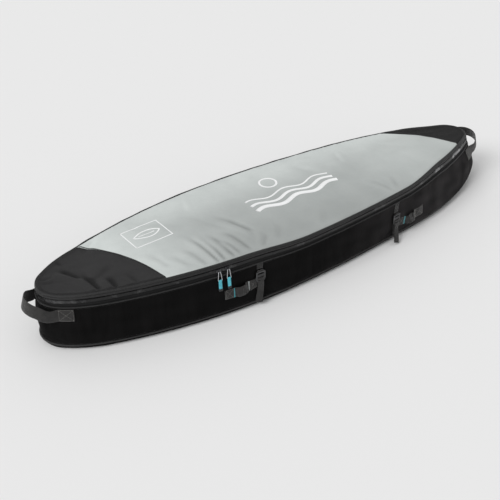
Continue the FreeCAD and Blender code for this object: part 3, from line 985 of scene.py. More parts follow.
# Deeper folds of the soft tail patch.
TAIL_FOLDS = [
    ((-0.850, -0.130), (-0.868, -0.010), 0.0150, 0.0135),
    ((-0.864, -0.034), (-0.916, 0.048), 0.0125, 0.0110),
    ((-0.800, -0.158), (-0.806, -0.070), 0.0110, 0.0130),
    ((-0.830, -0.040), (-0.760, 0.030), 0.0040, 0.0190),
    ((-0.975, 0.052), (-0.925, 0.046), 0.0040, 0.0065),
    ((-0.972, 0.030), (-0.920, 0.020), 0.0036, 0.0070),
    ((-0.880, 0.140), (-0.845, 0.085), 0.0050, 0.0090),
    ((-0.730, -0.190), (-0.745, -0.090), 0.0045, 0.0120),
    ((-0.700, 0.150), (-0.760, 0.070), 0.0035, 0.0160),
]
# How far each fold bows aside, as a share of its length.
FOLD_BOW = 0.035
# How far the cloth sags inside its edge, and how much further on the tail patch.
LID_SAG = 0.0035
TAIL_SAG = 0.0030
# Fabric stands proud of the CAD's box by no more than 3 % of its height and 10 mm, less the seams on it.
HIGHEST_FOLD = cad_high[2] + 0.03 * (cad_high[2] - cad_low[2]) + 0.0100 - 0.0010


def lid_painted_light(points):
    """Painted reflection and shade: the lid is painted palest at the tail and along the rear, and duller near
    its front edge.
    """
    x, y = points[:, 0], points[:, 1]
    tail = smooth((-0.30 - x) / 0.42)
    rear = smooth((y + 0.03) / 0.25)
    nose = smooth((x - 0.20) / 0.45)
    front = smooth((-0.04 - y) / 0.17) * (1 - tail)
    # Painted highlights where the reflective cloth would catch the light.
    painted_reflection = np.maximum(np.maximum(0.46 * tail, 0.37 * rear), 0.17 * nose)
    return 0.83 + painted_reflection - 0.13 * front


def patch_painted_light(points):
    """Painted light: the tail patch is painted lighter and the nose patch darker."""
    return 1.36 - 1.16 * smooth((points[:, 0] - 0.2) / 0.4)


def fold_height(points, folds):
    """The height that the folds add: each is a ridge with a hollow on its right."""
    x, y = points[:, 0], points[:, 1]
    total = np.zeros(len(points))
    for start, end, height, width in folds:
        start, end = np.array(start), np.array(end)
        along = end - start
        length = np.linalg.norm(along)
        along = along / length
        side = np.array([along[1], -along[0]])
        u = ((x - start[0]) * along[0] + (y - start[1]) * along[1]) / length
        curve = FOLD_BOW * length * np.sin(math.pi * np.clip(u, 0, 1))
        v = (x - start[0]) * side[0] + (y - start[1]) * side[1] - curve
        fade = smooth((u + 0.12) / 0.3) * smooth((1.12 - u) / 0.55)
        spread = width * (0.75 + 0.6 * np.clip(u, 0, 1))
        ridge = np.exp(-((v / spread) ** 2)) - 0.75 * np.exp(-(((v - 1.7 * spread) / spread) ** 2))
        total += height * ridge * fade
    return total


def lid_bed():
    """The foam under the lid's cloth, for the cloth to rest on."""
    stations = np.linspace(-1.1, 1.1, 90)
    points = [(x, y, LID_TOP - 0.0062 + float(lid_rise(x))) for x in stations for y in (0.35, -0.35)]
    return new_object("lid_bed", points, grid_faces(len(stations), 2))


def make_lid_cloth():
    """The lid's cloth, draped as one sheet and cut along its seams. Returns its search tree."""
    flat, faces = flat_sheet(LID_EDGE_OUT)
    z = LID_TOP + lid_crown(flat[:, 0], flat[:, 1])
    inward, out = nearest_edge(flat)
    reach = np.clip(0.9 * half_width_at(flat[:, 0]), 0.05, 0.22)
    points = settle(np.concatenate([flat, z[:, None]], 1), out, 1 - smooth(inward / reach))
    sheet = new_object("lid_sheet", points, faces)
    pinned = np.where(inward < 0.0075, 1.0, 0.0)
    bed = lid_bed()
    drape(sheet, pinned, frames=24, gravity=0.55, shrink=-0.011, cap=0.0065, stiffness=14, bending=0.9,
          bed=bed)
    bpy.data.objects.remove(bed)
    points = coordinates(sheet)
    fade = smooth(inward / 0.026)
    tail_part = smooth((-flat[:, 0] - 0.62) / 0.06)
    folds = (fold_height(flat, FOLDS) + fold_height(flat, TAIL_FOLDS) * tail_part) * fade
    points[:, 2] += folds
    # Painted shade: the cloth's colour is darkened in the folds' hollows, on the lid and on both patches.
    crease_shade = 1 - 0.78 * smooth(-folds / 0.006)
    # Painted shade: a dark band just inside the tail patch's edge, where the cloth dips.
    edge_band_shade = 1 - 0.60 * np.exp(-(((inward - 0.0125) / 0.0065) ** 2))
    ripple = np.sin(flat[:, 0] * 47 + flat[:, 1] * 61) * np.sin(flat[:, 1] * 53 - 20 * flat[:, 0])
    points[:, 2] += 0.0010 * ripple * fade
    points[:, 2] -= 0.0022 * np.exp(-(((inward - 0.012) / 0.005) ** 2))
    points[:, 2] = below_the_top(points[:, 2], flat[:, 0], inward)
    set_coordinates(sheet, points)
    parts = {"lid_centre": [], "tail_patch": [], "nose_patch": []}
    for face in faces:
        middle = flat[list(face)].mean(0)
        if math.dist(middle, TAIL_SEAM[0]) < TAIL_SEAM[1] and middle[0] < 0:
            parts["tail_patch"].append(face)
        elif math.dist(middle, NOSE_SEAM[0]) > NOSE_SEAM[1] and middle[0] > NOSE_SEAM[0][0]:
            parts["nose_patch"].append(face)
        else:
            parts["lid_centre"].append(face)
    tree = tree_of(sheet)
    bpy.data.objects.remove(sheet)
    patch = patch_painted_light(flat) * crease_shade
    for name, material, slot, tone, nodes in (
            ("lid_centre", CLOTH_LID, "lid_fabric", lid_painted_light(flat) * crease_shade ** 0.22,
             ("lid_centre_panel", "rear_lid_strip", "lid_foam")),
            ("tail_patch", CLOTH_PATCH, "black_fabric", patch * edge_band_shade, ("lid_tail_patch",)),
            ("nose_patch", CLOTH_PATCH, "black_fabric", patch, ("lid_nose_patch",))):
        obj = partial_object(name, points, parts[name], material, tone)
        ride_lid(obj, slot, *nodes)
    return tree


def below_the_top(heights, x, inward):
    """The cloth sags inside its edge, and its folds rise only as far as the bag's height lets them."""
    level = LID_TOP + lid_rise(x)
    sag = LID_SAG * smooth(inward / 0.05) * smooth(np.abs(x + 0.2) / 0.25)
    sag = sag + TAIL_SAG * smooth(inward / 0.035) * smooth((-x - 0.68) / 0.10)
    level = level - sag
    heights = heights - sag
    room = HIGHEST_FOLD - level
    over = np.maximum(heights - level, 0.0)
    return np.where(heights > level, level + room * (1 - np.exp(-over / room)), heights)


def partial_object(name, points, faces, material, tone):
    """An object of some of a sheet's faces, with only the points that they use."""
    used = sorted({i for face in faces for i in face})
    index = {old: new for new, old in enumerate(used)}
    obj = new_object(name, points[used], [tuple(index[i] for i in face) for face in faces], material)
    set_tone(obj, tone[used])
    return obj


class Lid:
    """The finished lid, for prints and seams that lie on it."""

    def __init__(self, tree):
        self.tree = tree

    def at(self, x, y, up=0.0):
        """The point on the lid at x and y, moved that far off it, and the lid's direction there."""
        hit, face, _, _ = self.tree.ray_cast(Vector((x, y, 0.5)), Vector((0, 0, -1)))
        if hit is None:
            return Vector((x, y, LID_TOP + up)), Vector((0, 0, 1))
        if face.z < 0:
            face = -face
        return hit + face * up, face


def flat_ribbon(name, lid, path, width, thickness, material, across_steps=4):
    """A thin strip on the lid along (x, y) points, that follows its folds across its width too."""
    path = np.array(path, float)
    along = np.gradient(path, axis=0)
    along /= np.linalg.norm(along, axis=1, keepdims=True)
    side = np.stack([along[:, 1], -along[:, 0]], 1)
    shares = np.linspace(-0.5, 0.5, across_steps + 1)
    top, low = [], []
    for (x, y), (sx, sy) in zip(path, side):
        for share in shares:
            px, py = x + sx * share * width, y + sy * share * width
            top.append(lid.at(px, py, thickness)[0])
            low.append(lid.at(px, py, -0.0004)[0])
    rows, columns = len(path), len(shares)
    faces = [face[::-1] for face in grid_faces(rows, columns)]
    shift = rows * columns
    faces += [tuple(i + shift for i in face[::-1]) for face in faces]
    for r in range(rows - 1):
        for c in (0, columns - 1):
            a, b = r * columns + c, (r + 1) * columns + c
            faces.append((a, b, b + shift, a + shift) if c == 0 else (b, a, a + shift, b + shift))
    for c in range(columns - 1):
        for r in (0, rows - 1):
            a, b = r * columns + c, r * columns + c + 1
            faces.append((b, a, a + shift, b + shift) if r == 0 else (a, b, b + shift, a + shift))
    return new_object(name, top + low, faces, material)


def lid_stitches(lid, path, up, pitch=0.0048, fill=0.62):
    """Stitches along (x, y) points on the lid."""
    places = [lid.at(x, y, up) for x, y in path]
    stitches = []
    for (a, face_a), (b, _) in zip(places, places[1:]):
        count = max(1, round((b - a).length / pitch))
        for i in range(count):
            stitches.append((a.lerp(b, i / count), a.lerp(b, (i + fill) / count), face_a))
    return stitches


def make_seams(lid):
    """The two seams of the end patches: a turned edge and a row of stitches."""
    for name, seam, away in (("tail_seam", TAIL_SEAM, -1), ("nose_seam", NOSE_SEAM, 1)):
        path = seam_points(seam, -0.006)
        edge = flat_ribbon(name, lid, path, 0.0036, 0.0009, CLOTH_BINDING, across_steps=3)
        ride_lid(edge, "black_fabric")
        (cx, cy), radius = seam
        scale = 1 + away * 0.006 / radius
        inner = [(cx + (x - cx) * scale, cy + (y - cy) * scale) for x, y in path]
        threads = stitch_mesh(name + "_stitches", lid_stitches(lid, inner, 0.0003), THREAD_BLACK)
        ride_lid(threads, "black_fabric")


def make_print(lid):
    """Generic printed marks: a ring over three waves, and a board's outline in a frame."""
    strokes = []
    angle = math.radians(2)
    turn = np.array([[math.cos(angle), -math.sin(angle)], [math.sin(angle), math.cos(angle)]])

    def placed(points, origin):
        return [tuple(np.array(origin) + turn @ np.array(p)) for p in points]

    def wave(length, height, turns, shift=0.0):
        return [(u, height * math.sin(2 * math.pi * turns * u / length + shift))
                for u in np.linspace(0, length, 70)]

    middle = (-0.125, -0.030)
    for row, width in enumerate((0.020, 0.014, 0.008)):
        path = placed([(u, v + 0.034 * row) for u, v in wave(0.40, 0.011, 2.5, row * 0.35)], middle)
        strokes.append((path, width))
    turns = np.linspace(0, 2 * math.pi, 49)
    ring = [(0.165 + 0.034 * math.cos(a), 0.146 + 0.034 * math.sin(a)) for a in turns]
    strokes.append((placed(ring, middle), 0.009))
    label = (-0.612, 0.016)
    width, height = 0.150, 0.113
    corners = [(0, 0), (width, 0), (width, height), (0, height), (0, 0)]
    for a, b in zip(corners, corners[1:]):
        path = [(a[0] + (b[0] - a[0]) * s, a[1] + (b[1] - a[1]) * s) for s in np.linspace(-0.013, 1.013, 24)]
        strokes.append((placed(path, label), 0.0042))
    for side in (-1, 1):
        edge = [(0.020 + 0.110 * s, height / 2 + side * 0.068 * s * (1 - s) * (1 + 0.5 * s))
                for s in np.linspace(0, 1, 24)]
        strokes.append((placed(edge, label), 0.0055))
    strokes.append((placed([(u, height / 2) for u in np.linspace(0.040, 0.108, 12)], label), 0.0035))
    for number, (path, width) in enumerate(strokes):
        mark = flat_ribbon(f"print_{number:02d}", lid, path, width, 0.00035, PRINT)
        ride(mark, "lid", "lid_fabric")


# ---------------------------------------------------------------- edges, zip and bottom


def make_edges(surface):
    """Piping and binding round the lid, the wall's two seams, and their stitches."""
    top = swept_band("lid_edge_cord", circle_profile(-0.0012, PIPING_TOP - 0.0042, 0.0042, 10),
                     CLOTH_BINDING, wander=0.0007)
    ride_lid(top, "piping", "lid_piping", "rear_piping")
    flange = [(-0.0065, PIPING_TOP - 0.0022), (-0.0045, PIPING_TOP - 0.0008), (-0.0030, PIPING_TOP - 0.0016),
              (-0.0030, PIPING_TOP - 0.0040), (-0.0065, PIPING_TOP - 0.0044)]
    ride_lid(swept_band("lid_edge_flange", flange, CLOTH_BINDING), "piping")
    lower = [(-0.0015, TAPE_TOP + 0.0012), (0.0022, TAPE_TOP + 0.0006), (0.0034, TAPE_TOP - 0.0020),
             (0.0030, TAPE_TOP - 0.0052), (0.0008, TAPE_TOP - 0.0072), (-0.0020, TAPE_TOP - 0.0066)]
    ride_lid(swept_band("lid_edge_binding", lower, CLOTH_BINDING, wander=0.0005), "piping")
    seam = swept_band("wall_seam_cord", circle_profile(0.0010, WALL_TOP - 0.0012, 0.0024),
                      CLOTH_BINDING, wander=0.0004)
    ride(seam, "base", "piping", "wall_seam_piping")
    bottom = swept_band("bottom_cord", circle_profile(0.0024, FLOOR_TOP + 0.0005, 0.0040, 10),
                        CLOTH_BINDING, wander=0.0006)
    ride(bottom, "base", "piping", "bottom_piping")
    for name, z, out in (("bottom_seam_stitches", FLOOR_TOP + 0.0085, 0.0002),
                         ("wall_seam_stitches", WALL_TOP - 0.0075, 0.0002)):
        path = [(s, z) for s in np.linspace(0, 2, 500)]
        threads = stitch_mesh(name, stitch_line(surface, path, out, 0.0047), THREAD_BLACK, 0.0006)
        ride(threads, "base", "black_fabric")


def band(name, levels, outs, material, thickness=0.0009):
    """A thin upright band through (out, z) points, right round the bag."""
    profile = list(zip(outs, levels)) + [(o - thickness, z) for o, z in zip(outs[::-1], levels[::-1])]
    return swept_band(name, profile, material)


def make_zip():
    """Tapes, teeth and the plain rear band. The teeth end where the lid folds."""
    lower = band("lower_tape", [WALL_TOP - 0.002, WALL_TOP + 0.006, ZIP_LEVEL - 0.002],
                 [-0.0004, -0.0012, -0.0010], CLOTH_TAPE)
    ride(lower, "base", "zip_tape", "lower_zip_tape", "rear_band")
    upper = band("upper_tape", [ZIP_LEVEL + 0.002, TAPE_TOP - 0.008, TAPE_TOP + 0.001],
                 [-0.0010, -0.0012, -0.0004], CLOTH_TAPE)
    ride_lid(upper, "zip_tape", "upper_zip_tape")
    first, last = zip_range()
    pitch = 0.0036
    count = int((last - first) * ROUND_LENGTH / 2 / pitch)
    places = np.linspace(first, last, count)
    half_step = (places[1] - places[0]) / 2
    low = teeth("lower_teeth", places, ZIP_LEVEL - 0.0058, ZIP_LEVEL + 0.0012)
    ride(low, "base", "zip_teeth", "lower_zip_teeth")
    high = teeth("upper_teeth", places[:-1] + half_step, ZIP_LEVEL - 0.0008, ZIP_LEVEL + 0.0062)
    ride(high, "lid", "zip_teeth", "upper_zip_teeth")


def rear_zip_end(direction):
    """The X where the outline comes to the fold line, at one end."""
    xs = np.linspace(0.2, 0.95, 400) * direction
    return xs[np.argmin(np.abs(half_width_at(xs) - HINGE_Y))]


def zip_range():
    """From the tail's rear corner (below 0) to the nose's rear corner (above 1)."""
    return -float(t_at(rear_zip_end(-1))), 2 - float(t_at(rear_zip_end(1)))


def teeth(name, places, z_low, z_high):
    """Zip teeth: a rounded block with a narrower neck, one at each place."""
    width, depth, forward = 0.0024, 0.0034, 0.0006
    sections = [(z_low, 0.55, 0.6), (z_low + 0.0008, 0.95, 0.95), (z_low + 0.0035, 1.0, 1.0),
                (z_high - 0.0012, 1.0, 1.0), (z_high, 0.7, 0.65)]
    points, faces = [], []
    place, out = outline_at(places)
    along = np.stack([-out[:, 1], out[:, 0]], 1)
    for z, wide, deep in sections:
        for a, b in ((-0.5, -0.5), (0.5, -0.5), (0.5, 0.5), (-0.5, 0.5)):
            flat = place + along * (a * width * wide) + out * (forward + b * depth * deep)
            level = np.full((len(flat), 1), z)
            points.append(settle(np.concatenate([flat, level], 1), out))
    points = np.stack(points, 1).reshape(-1, 3)
    for tooth in range(len(places)):
        faces += tube_faces(len(sections), 4, first=tooth * len(sections) * 4)
    row = new_object(name, points, faces, TEETH, shade_smooth=False)
    # Painted glints: the teeth's tone is brighter towards the nose.
    set_tone(row, 0.22 + 1.5 * smooth((points[:, 0] - 0.40) / 0.35))
    return row


def filled_loop_faces(count, rows_across):
    """Faces across a loop of points that is mirrored front to rear, with inner points row by row."""
    faces = []
    half = count // 2

    def point(i, j):
        if i <= 0:
            return 0
        if i >= half:
            return half
        if j == 0:
            return i
        if j == rows_across:
            return count - i
        return count + (i - 1) * (rows_across - 1) + (j - 1)

    for i in range(half):
        for j in range(rows_across):
            corners = (point(i, j), point(i + 1, j), point(i + 1, j + 1), point(i, j + 1))
            corners = tuple(dict.fromkeys(corners))
            if len(corners) > 2:
                faces.append(corners)
    return faces


def across_points(loop, rows_across):
    """The inner points of a mirrored loop, row by row."""
    count = len(loop)
    found = []
    for i in range(1, count // 2):
        a, b = loop[i], loop[count - i]
        for j in range(1, rows_across):
            found.append(a + (b - a) * j / rows_across)
    return np.array(found)


def make_bottom():
    """The bottom panel: it turns up from the floor to the seam, and lies flat between."""
    count = LINING_STEPS
    t = ring_steps(count)
    profile = [(-0.0005, FLOOR_TOP + 0.0006), (0.0012, FLOOR_TOP - 0.005), (0.0010, FLOOR_TOP - 0.010),
               (-0.0030, 0.0048), (-0.0095, 0.0012), (-0.0180, 0.0002)]
    rows = [round_places(t, out, z) for out, z in profile]
    inner = across_points(rows[-1], 26)
    wave = 0.0004 * (1 + np.sin(inner[:, 0] * 31) * np.sin(inner[:, 1] * 27))
    inner[:, 2] = np.maximum(inner[:, 2] + wave, 0.0001)
    points = np.concatenate([np.concatenate(rows[::-1]), inner])
    ring_faces = grid_faces(len(rows), count, closed_columns=True)
    fill = filled_loop_faces(count, 26)
    shifted = [tuple(i if i < count else i + (len(rows) - 1) * count for i in face) for face in fill]
    bottom = new_object("bottom_cloth", points, ring_faces + shifted, CLOTH_BLACK)
    # The bottom takes the wall's painted light and dusty patches.
    set_tone(bottom, wall_painted_light_and_dust(points))
    weld(bottom, 1e-6)
    ride(bottom, "base", "black_fabric", "bottom_panel", "bottom_foam")


def make_lining():
    """Inside: floor, wall and lid linings with quilted seams, and the bound top edge of the wall."""
    count = LINING_STEPS
    t = ring_steps(count)
    loop = round_places(t, LINING_IN, FLOOR_TOP + 0.001)
    inner = across_points(loop, 40)
    inner[:, 2] += 0.00132 * quilting(inner, 0.12)
    fill = filled_loop_faces(count, 40)
    floor = new_object("floor_lining", np.concatenate([loop, inner]), fill, CLOTH_LINING)
    ride(floor, "base", "lining", "bottom_lining")
    shares = np.linspace(0, 1, 12)
    rows = [round_places(ring_steps(), LINING_IN - 0.0018 * math.sin(math.pi * share),
                         FLOOR_TOP + (WALL_TOP - FLOOR_TOP) * share) for share in shares]
    wall = new_object("wall_inside", np.concatenate(rows),
                      grid_faces(len(shares), ROUND_STEPS, closed_columns=True), CLOTH_LINING)
    wall.data.flip_normals()
    ride(wall, "base", "lining", "wall_lining", "wall_foam")
    rim = [(0.0004, WALL_TOP - 0.004), (0.0002, WALL_TOP + 0.0006), (-0.0030, WALL_TOP + 0.0014),
           (-0.0080, WALL_TOP + 0.0014), (LINING_IN - 0.0006, WALL_TOP + 0.0002),
           (LINING_IN - 0.0008, WALL_TOP - 0.006), (-0.0060, WALL_TOP - 0.005)]
    ride(swept_band("wall_top_binding", rim, CLOTH_BINDING), "base", "piping")
    lid_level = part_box("lid_lining")[0].z
    loop = round_places(t, -0.004, lid_level + 0.001)
    inner = across_points(loop, 40)
    inner[:, 2] -= 0.0012 * quilting(inner, 0.14)
    lid = new_object("lid_inside", np.concatenate([loop, inner]), fill, CLOTH_LINING)
    lid.data.flip_normals()
    ride_lid(lid, "lining", "lid_lining")
    inner_rim = band("lid_inner_rim", [lid_level, lid_level + 0.004, TAPE_TOP],
                     [-0.0036, -0.0030, -0.0022], CLOTH_BINDING)
    ride_lid(inner_rim, "piping")


def quilting(points, pitch):
    """0 on the lines of a square quilt's stitches, and 1 in its fields."""
    dip = np.minimum(np.abs((points[:, 0] / pitch) % 1 - 0.5), np.abs((points[:, 1] / pitch) % 1 - 0.5))
    return 1 - np.exp(-((0.5 - dip) / 0.09) ** 2)


# ---------------------------------------------------------------- straps, locks and handles


def local_frame(x, side, level):
    """A function from (along, up, out) at that place on the outline to a point.
    The whole piece is moved as the wall settles at that level."""
    place, normal = outline_at(t_at(x, side))
    out = Vector((*normal, 0.0))
    along = Vector((-normal[1], normal[0], 0.0)) if side == "front" else Vector((normal[1], -normal[0], 0.0))
    base = Vector(settle(np.array([*place, level]), normal)) - Vector((0, 0, level))

    def at(u, z, w):
        return base + along * u + out * w + Vector((0, 0, z))

    return at, along, out


# How far a ladder lock's middle stands off the outline, its thickness, and half its width and windows.
LOCK_OUT = 0.0052
LOCK_THICKNESS = 0.0034
LOCK_HALF = 0.0188
WINDOW_HALF = 0.0133


def make_lock(name, x, side):
    """The ladder lock: a shield with two slots, an upper window, ridges and a thumb lip."""
    bottom, top = (corner.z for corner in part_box(name))
    at, along, _ = local_frame(x, side, bottom)
    shield = rounded_loop([(-LOCK_HALF, top - 0.001), (LOCK_HALF, top - 0.001), (LOCK_HALF, bottom + 0.017),
                           (0.0085, bottom + 0.001), (-0.0085, bottom + 0.001),
                           (-LOCK_HALF, bottom + 0.017)], 0.004)
    middle_z = (bottom + top) / 2
    windows = [rounded_loop([(-WINDOW_HALF, low), (WINDOW_HALF, low), (WINDOW_HALF, high),
                             (-WINDOW_HALF, high)], 0.0012)
               for low, high in ((bottom + 0.0385, top - 0.0055), (bottom + 0.0125, bottom + 0.0173),
                                 (bottom + 0.0245, bottom + 0.0293))]
    plate = extruded_plate(name + "_plate", [shield, *windows], LOCK_THICKNESS, 0.0009,
                           lambda u, v, n: at(u, v, LOCK_OUT + n), LOCK)
    ride(plate, name, "black_plastic", name)
    front = LOCK_OUT + LOCK_THICKNESS / 2 - 0.0001
    # The rim and ridges take the painted-highlight grey.
    rim_path = [at(u * 0.93, (v - middle_z) * 0.91 + middle_z, front) for u, v in shield]
    ridges = [wire_tube(name + "_rim", rim_path, 0.0010, LOCK_RIM_PAINTED_HIGHLIGHT, closed=True, sides=6)]
    for i, z in enumerate(np.linspace(bottom + 0.0030, bottom + 0.0095, 4)):
        half = 0.0062 + 0.0009 * i
        path = [at(u, z, front + 0.0003) for u in np.linspace(-half, half, 5)]
        ridges.append(wire_tube(f"{name}_ridge_{i}", path, 0.0007, LOCK_RIM_PAINTED_HIGHLIGHT, sides=6))
    for ridge in ridges:
        ride(ridge, name, "black_plastic")
    centres = [at(0, bottom + 0.0205 + 0.0045 * math.cos(angle), LOCK_OUT + 0.0031 * math.sin(angle))
               for angle in np.linspace(math.radians(200), math.radians(520), 20)]
    normals = [step.cross(along).normalized() for step in steps_along(centres)]
    wrap = ribbon(name + "_strap_turn", centres, [along] * len(centres), normals, 0.0245, 0.0013, STRAP_BLACK)
    ride(wrap, name, "webbing")


STRAP_WIDTH = 0.0248
STRAP_THICKNESS = 0.0016


def make_strap(place, side, surface):
    """One compression strap: upper tab, strap up to its lock, and the free end."""
    x = STRAPS[place]
    name = f"{side}_{place}"
    t = float(t_at(x, side))
    lock = name + "_ladder_lock"
    strap_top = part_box(name + "_strap")[1].z
    pivot_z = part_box(lock)[1].z - 0.002
    at, along, out = local_frame(x, side, strap_top)
    path = [(t, z) for z in np.linspace(FLOOR_TOP + 0.001, strap_top - 0.012, 16)]
    strap = wall_ribbon(name + "_webbing", surface, path, STRAP_WIDTH, STRAP_THICKNESS, STRAP_BLACK)
    strap_point(strap, 0.30)
    strap_point(strap, 1.0)
    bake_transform(strap)
    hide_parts(name + "_strap")
    tab_path = [(t, z) for z in np.linspace(WALL_TOP + 0.0005, pivot_z + 0.007, 8)]
    tab = wall_ribbon(name + "_tab", surface, tab_path, STRAP_WIDTH, STRAP_THICKNESS, STRAP_BLACK)
    ride(tab, "base", "webbing", name + "_strap_tab")
    eye_z, eye_out, eye_radius = pivot_z + 0.0006, 0.0036, 0.0030
    centres = [at(0, eye_z + eye_radius * math.sin(angle), eye_out - eye_radius * math.cos(angle))
               for angle in np.linspace(math.radians(60), math.radians(400), 18)]
    normals = [(c - at(0, eye_z, eye_out)).normalized() for c in centres]
    turn = ribbon(name + "_tab_turn", centres, [along] * len(centres), normals, 0.0246, 0.0013, STRAP_BLACK)
    ride(turn, "base", "webbing")
    make_lock(lock, x, side)
    end_low, end_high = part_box(name + "_strap_end")
    centres, normals, sides = [], [], []
    for z in np.linspace(end_high.z - 0.0020, end_low.z + 0.001, 26):
        share = (end_high.z - z) / (end_high.z - end_low.z)
        sway, turn, aside = free_end_bend(place, share)
        centres.append(at(aside, z, 0.0082 + sway))
        normals.append((out * math.cos(turn) + along * math.sin(turn)).normalized())
        sides.append((along * math.cos(turn) - out * math.sin(turn)).normalized())
    normals, sides = level_across(centres, normals, sides)
    end = ribbon(name + "_free_end", centres, sides, normals, STRAP_WIDTH, STRAP_THICKNESS, STRAP_BLACK)
    ride(end, name + "_strap_end", "webbing", name + "_strap_end")
    folded = [c - n * 0.0017 for c, n in zip(centres[-4:], normals[-4:])]
    hem = ribbon(name + "_free_end_hem", folded, sides[-4:], normals[-4:], 0.0244, STRAP_THICKNESS,
                 STRAP_BLACK)
    ride(hem, name + "_strap_end", "webbing")
    stitches = []
    for share in (0.0, 0.5):
        base = centres[-4] + (centres[-1] - centres[-4]) * (0.2 + share)
        for i in range(7):
            a = base + sides[-1] * (-0.0095 + 0.0028 * i) + normals[-1] * 0.0010
            stitches.append((a, a + sides[-1] * 0.0018, normals[-1]))
    ride(stitch_mesh(name + "_hem_stitches", stitches, THREAD_BLACK), name + "_strap_end", "webbing")
    step = 0.0085 * 2 / ROUND_LENGTH
    tab_box = box_and_cross(surface, t - step, t + step, WALL_TOP - 0.0185, WALL_TOP - 0.0065, 0.0023)
    foot_box = box_and_cross(surface, t - step, t + step, FLOOR_TOP + 0.006, FLOOR_TOP + 0.021, 0.0023)
    threads = stitch_mesh(name + "_strap_stitches", tab_box + foot_box, THREAD_BLACK)
    ride(threads, "base", "webbing")


def free_end_bend(place, share):
    """How a free end leaves the wall, turns and moves aside along its length.
    The tail ones are twisted. The nose ones run out onto the floor."""
    waver = 0.0010 * math.sin(5.0 * share)
    if place == "tail":
        turned = float(smooth((share - 0.30) / 0.60))
        return waver + 0.0070 * turned, -0.50 * turned, -0.0110 * turned
    spread = float(smooth((share - 0.40) / 0.65))
    return waver + 0.0330 * spread, 0.10 * math.sin(3.2 * share), -0.0290 * spread


def level_across(centres, normals, sides):
    """Turn each section of a strip square to its own run."""
    squared, across = [], []
    for step, normal, side in zip(steps_along(centres), normals, sides):
        step = step.normalized()
        side = (side - step * side.dot(step)).normalized()
        turned = step.cross(side)
        squared.append(turned if turned.dot(normal) > 0 else -turned)
        across.append(side)
    return squared, across


def strap_point(obj, share):
    """The middle of the strap at that share of its length."""
    sections = coordinates(obj).reshape(-1, 2 * len(STRAP_ACROSS), 3)
    return Vector(sections[round(share * (len(sections) - 1))].mean(0))


# A grab handle's sewn ends reach this far along the bag. The tail ones hang a little lower behind.
GRAB_ENDS = {"tail": (-0.420, -0.293), "nose": (0.414, 0.560)}
GRAB_SLOPE = {"tail": 0.07, "nose": 0.0}


def make_grab(place, side, surface):
    """A flat handle: sewn at both ends, bowed out between its two bar tacks."""
    name = f"{side}_{place}_grab_handle"
    low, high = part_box(name)
    level = (low.z + high.z) / 2
    height = high.z - low.z
    first_x, second_x = low.x - 0.003, high.x + 0.003
    middle = (first_x + second_x) / 2
    anchor_low, anchor_high = GRAB_ENDS[place]
    thickness = 0.0020

    def t_of(x):
        return float(t_at(x, side))

    def z_of(x):
        return level + GRAB_SLOPE[place] * (x - middle)

    for number, (a, b) in enumerate(((anchor_low, first_x), (second_x, anchor_high))):
        if abs(b - a) < 0.008:
            continue
        path = [(t_of(x), z_of(x)) for x in np.linspace(a, b, 10)]
        piece = wall_ribbon(f"{name}_sewn_{number}", surface, path, height, thickness, STRAP_BLACK)
        nodes = (f"{side}_grab_anchors",) if number == 0 and place == "tail" else ()
        ride(piece, "base", "webbing", *nodes)
        if abs(b - a) > 0.02:
            margin = 0.0035
            z, reach = z_of((a + b) / 2), height / 2 - 0.004
            threads = box_and_cross(surface, t_of(a + margin), t_of(b - margin), z - reach, z + reach,
                                    thickness + 0.0006)
            ride(stitch_mesh(f"{name}_box_{number}", threads, THREAD_GREY, 0.0011), "base", "webbing")
    second_thread = THREAD_PALE if place == "tail" else THREAD_GREY
    for number, (x, material) in enumerate(((first_x, THREAD_TEAL), (second_x, second_thread))):
        z, reach = z_of(x), height / 2 - 0.002
        tack = bar_tack(surface, t_of(x), z - reach, z + reach, thickness + 0.0010, 0.0042)
        ride(stitch_mesh(f"{name}_tack_{number}", tack, material, 0.0011), "base", "webbing")
    for number, (a, b) in enumerate(((first_x, middle), (second_x, middle))):
        centres, normals, sides = [], [], []
        for share in np.linspace(0, 1, 16):
            x = a + (b - a) * share
            bow = 0.0118 * smooth(share / 0.62)
            point, face = surface.at(t_of(x), z_of(x), thickness / 2 + 0.0004)
            centres.append(point + face * float(bow))
            normals.append(face)
        for i, step in enumerate(steps_along(centres)):
            normals[i] = (normals[i] - step.normalized() * normals[i].dot(step.normalized())).normalized()
            sides.append(step.cross(normals[i]).normalized())
        piece = ribbon(f"{name}_half_{number}", centres, sides, normals, height, thickness, STRAP_BLACK)
        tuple(centres[0])
        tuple(centres[10])
        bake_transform(piece)
        if number == 0:
            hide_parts(name)


# A carry loop's hinge, the centre and radius of its bow, and how far it leans up.
LOOP_PIVOT_X = 0.966
LOOP_CENTRE_X = 0.9785
LOOP_RADIUS = 0.0750
LOOP_TILT = math.radians(18)


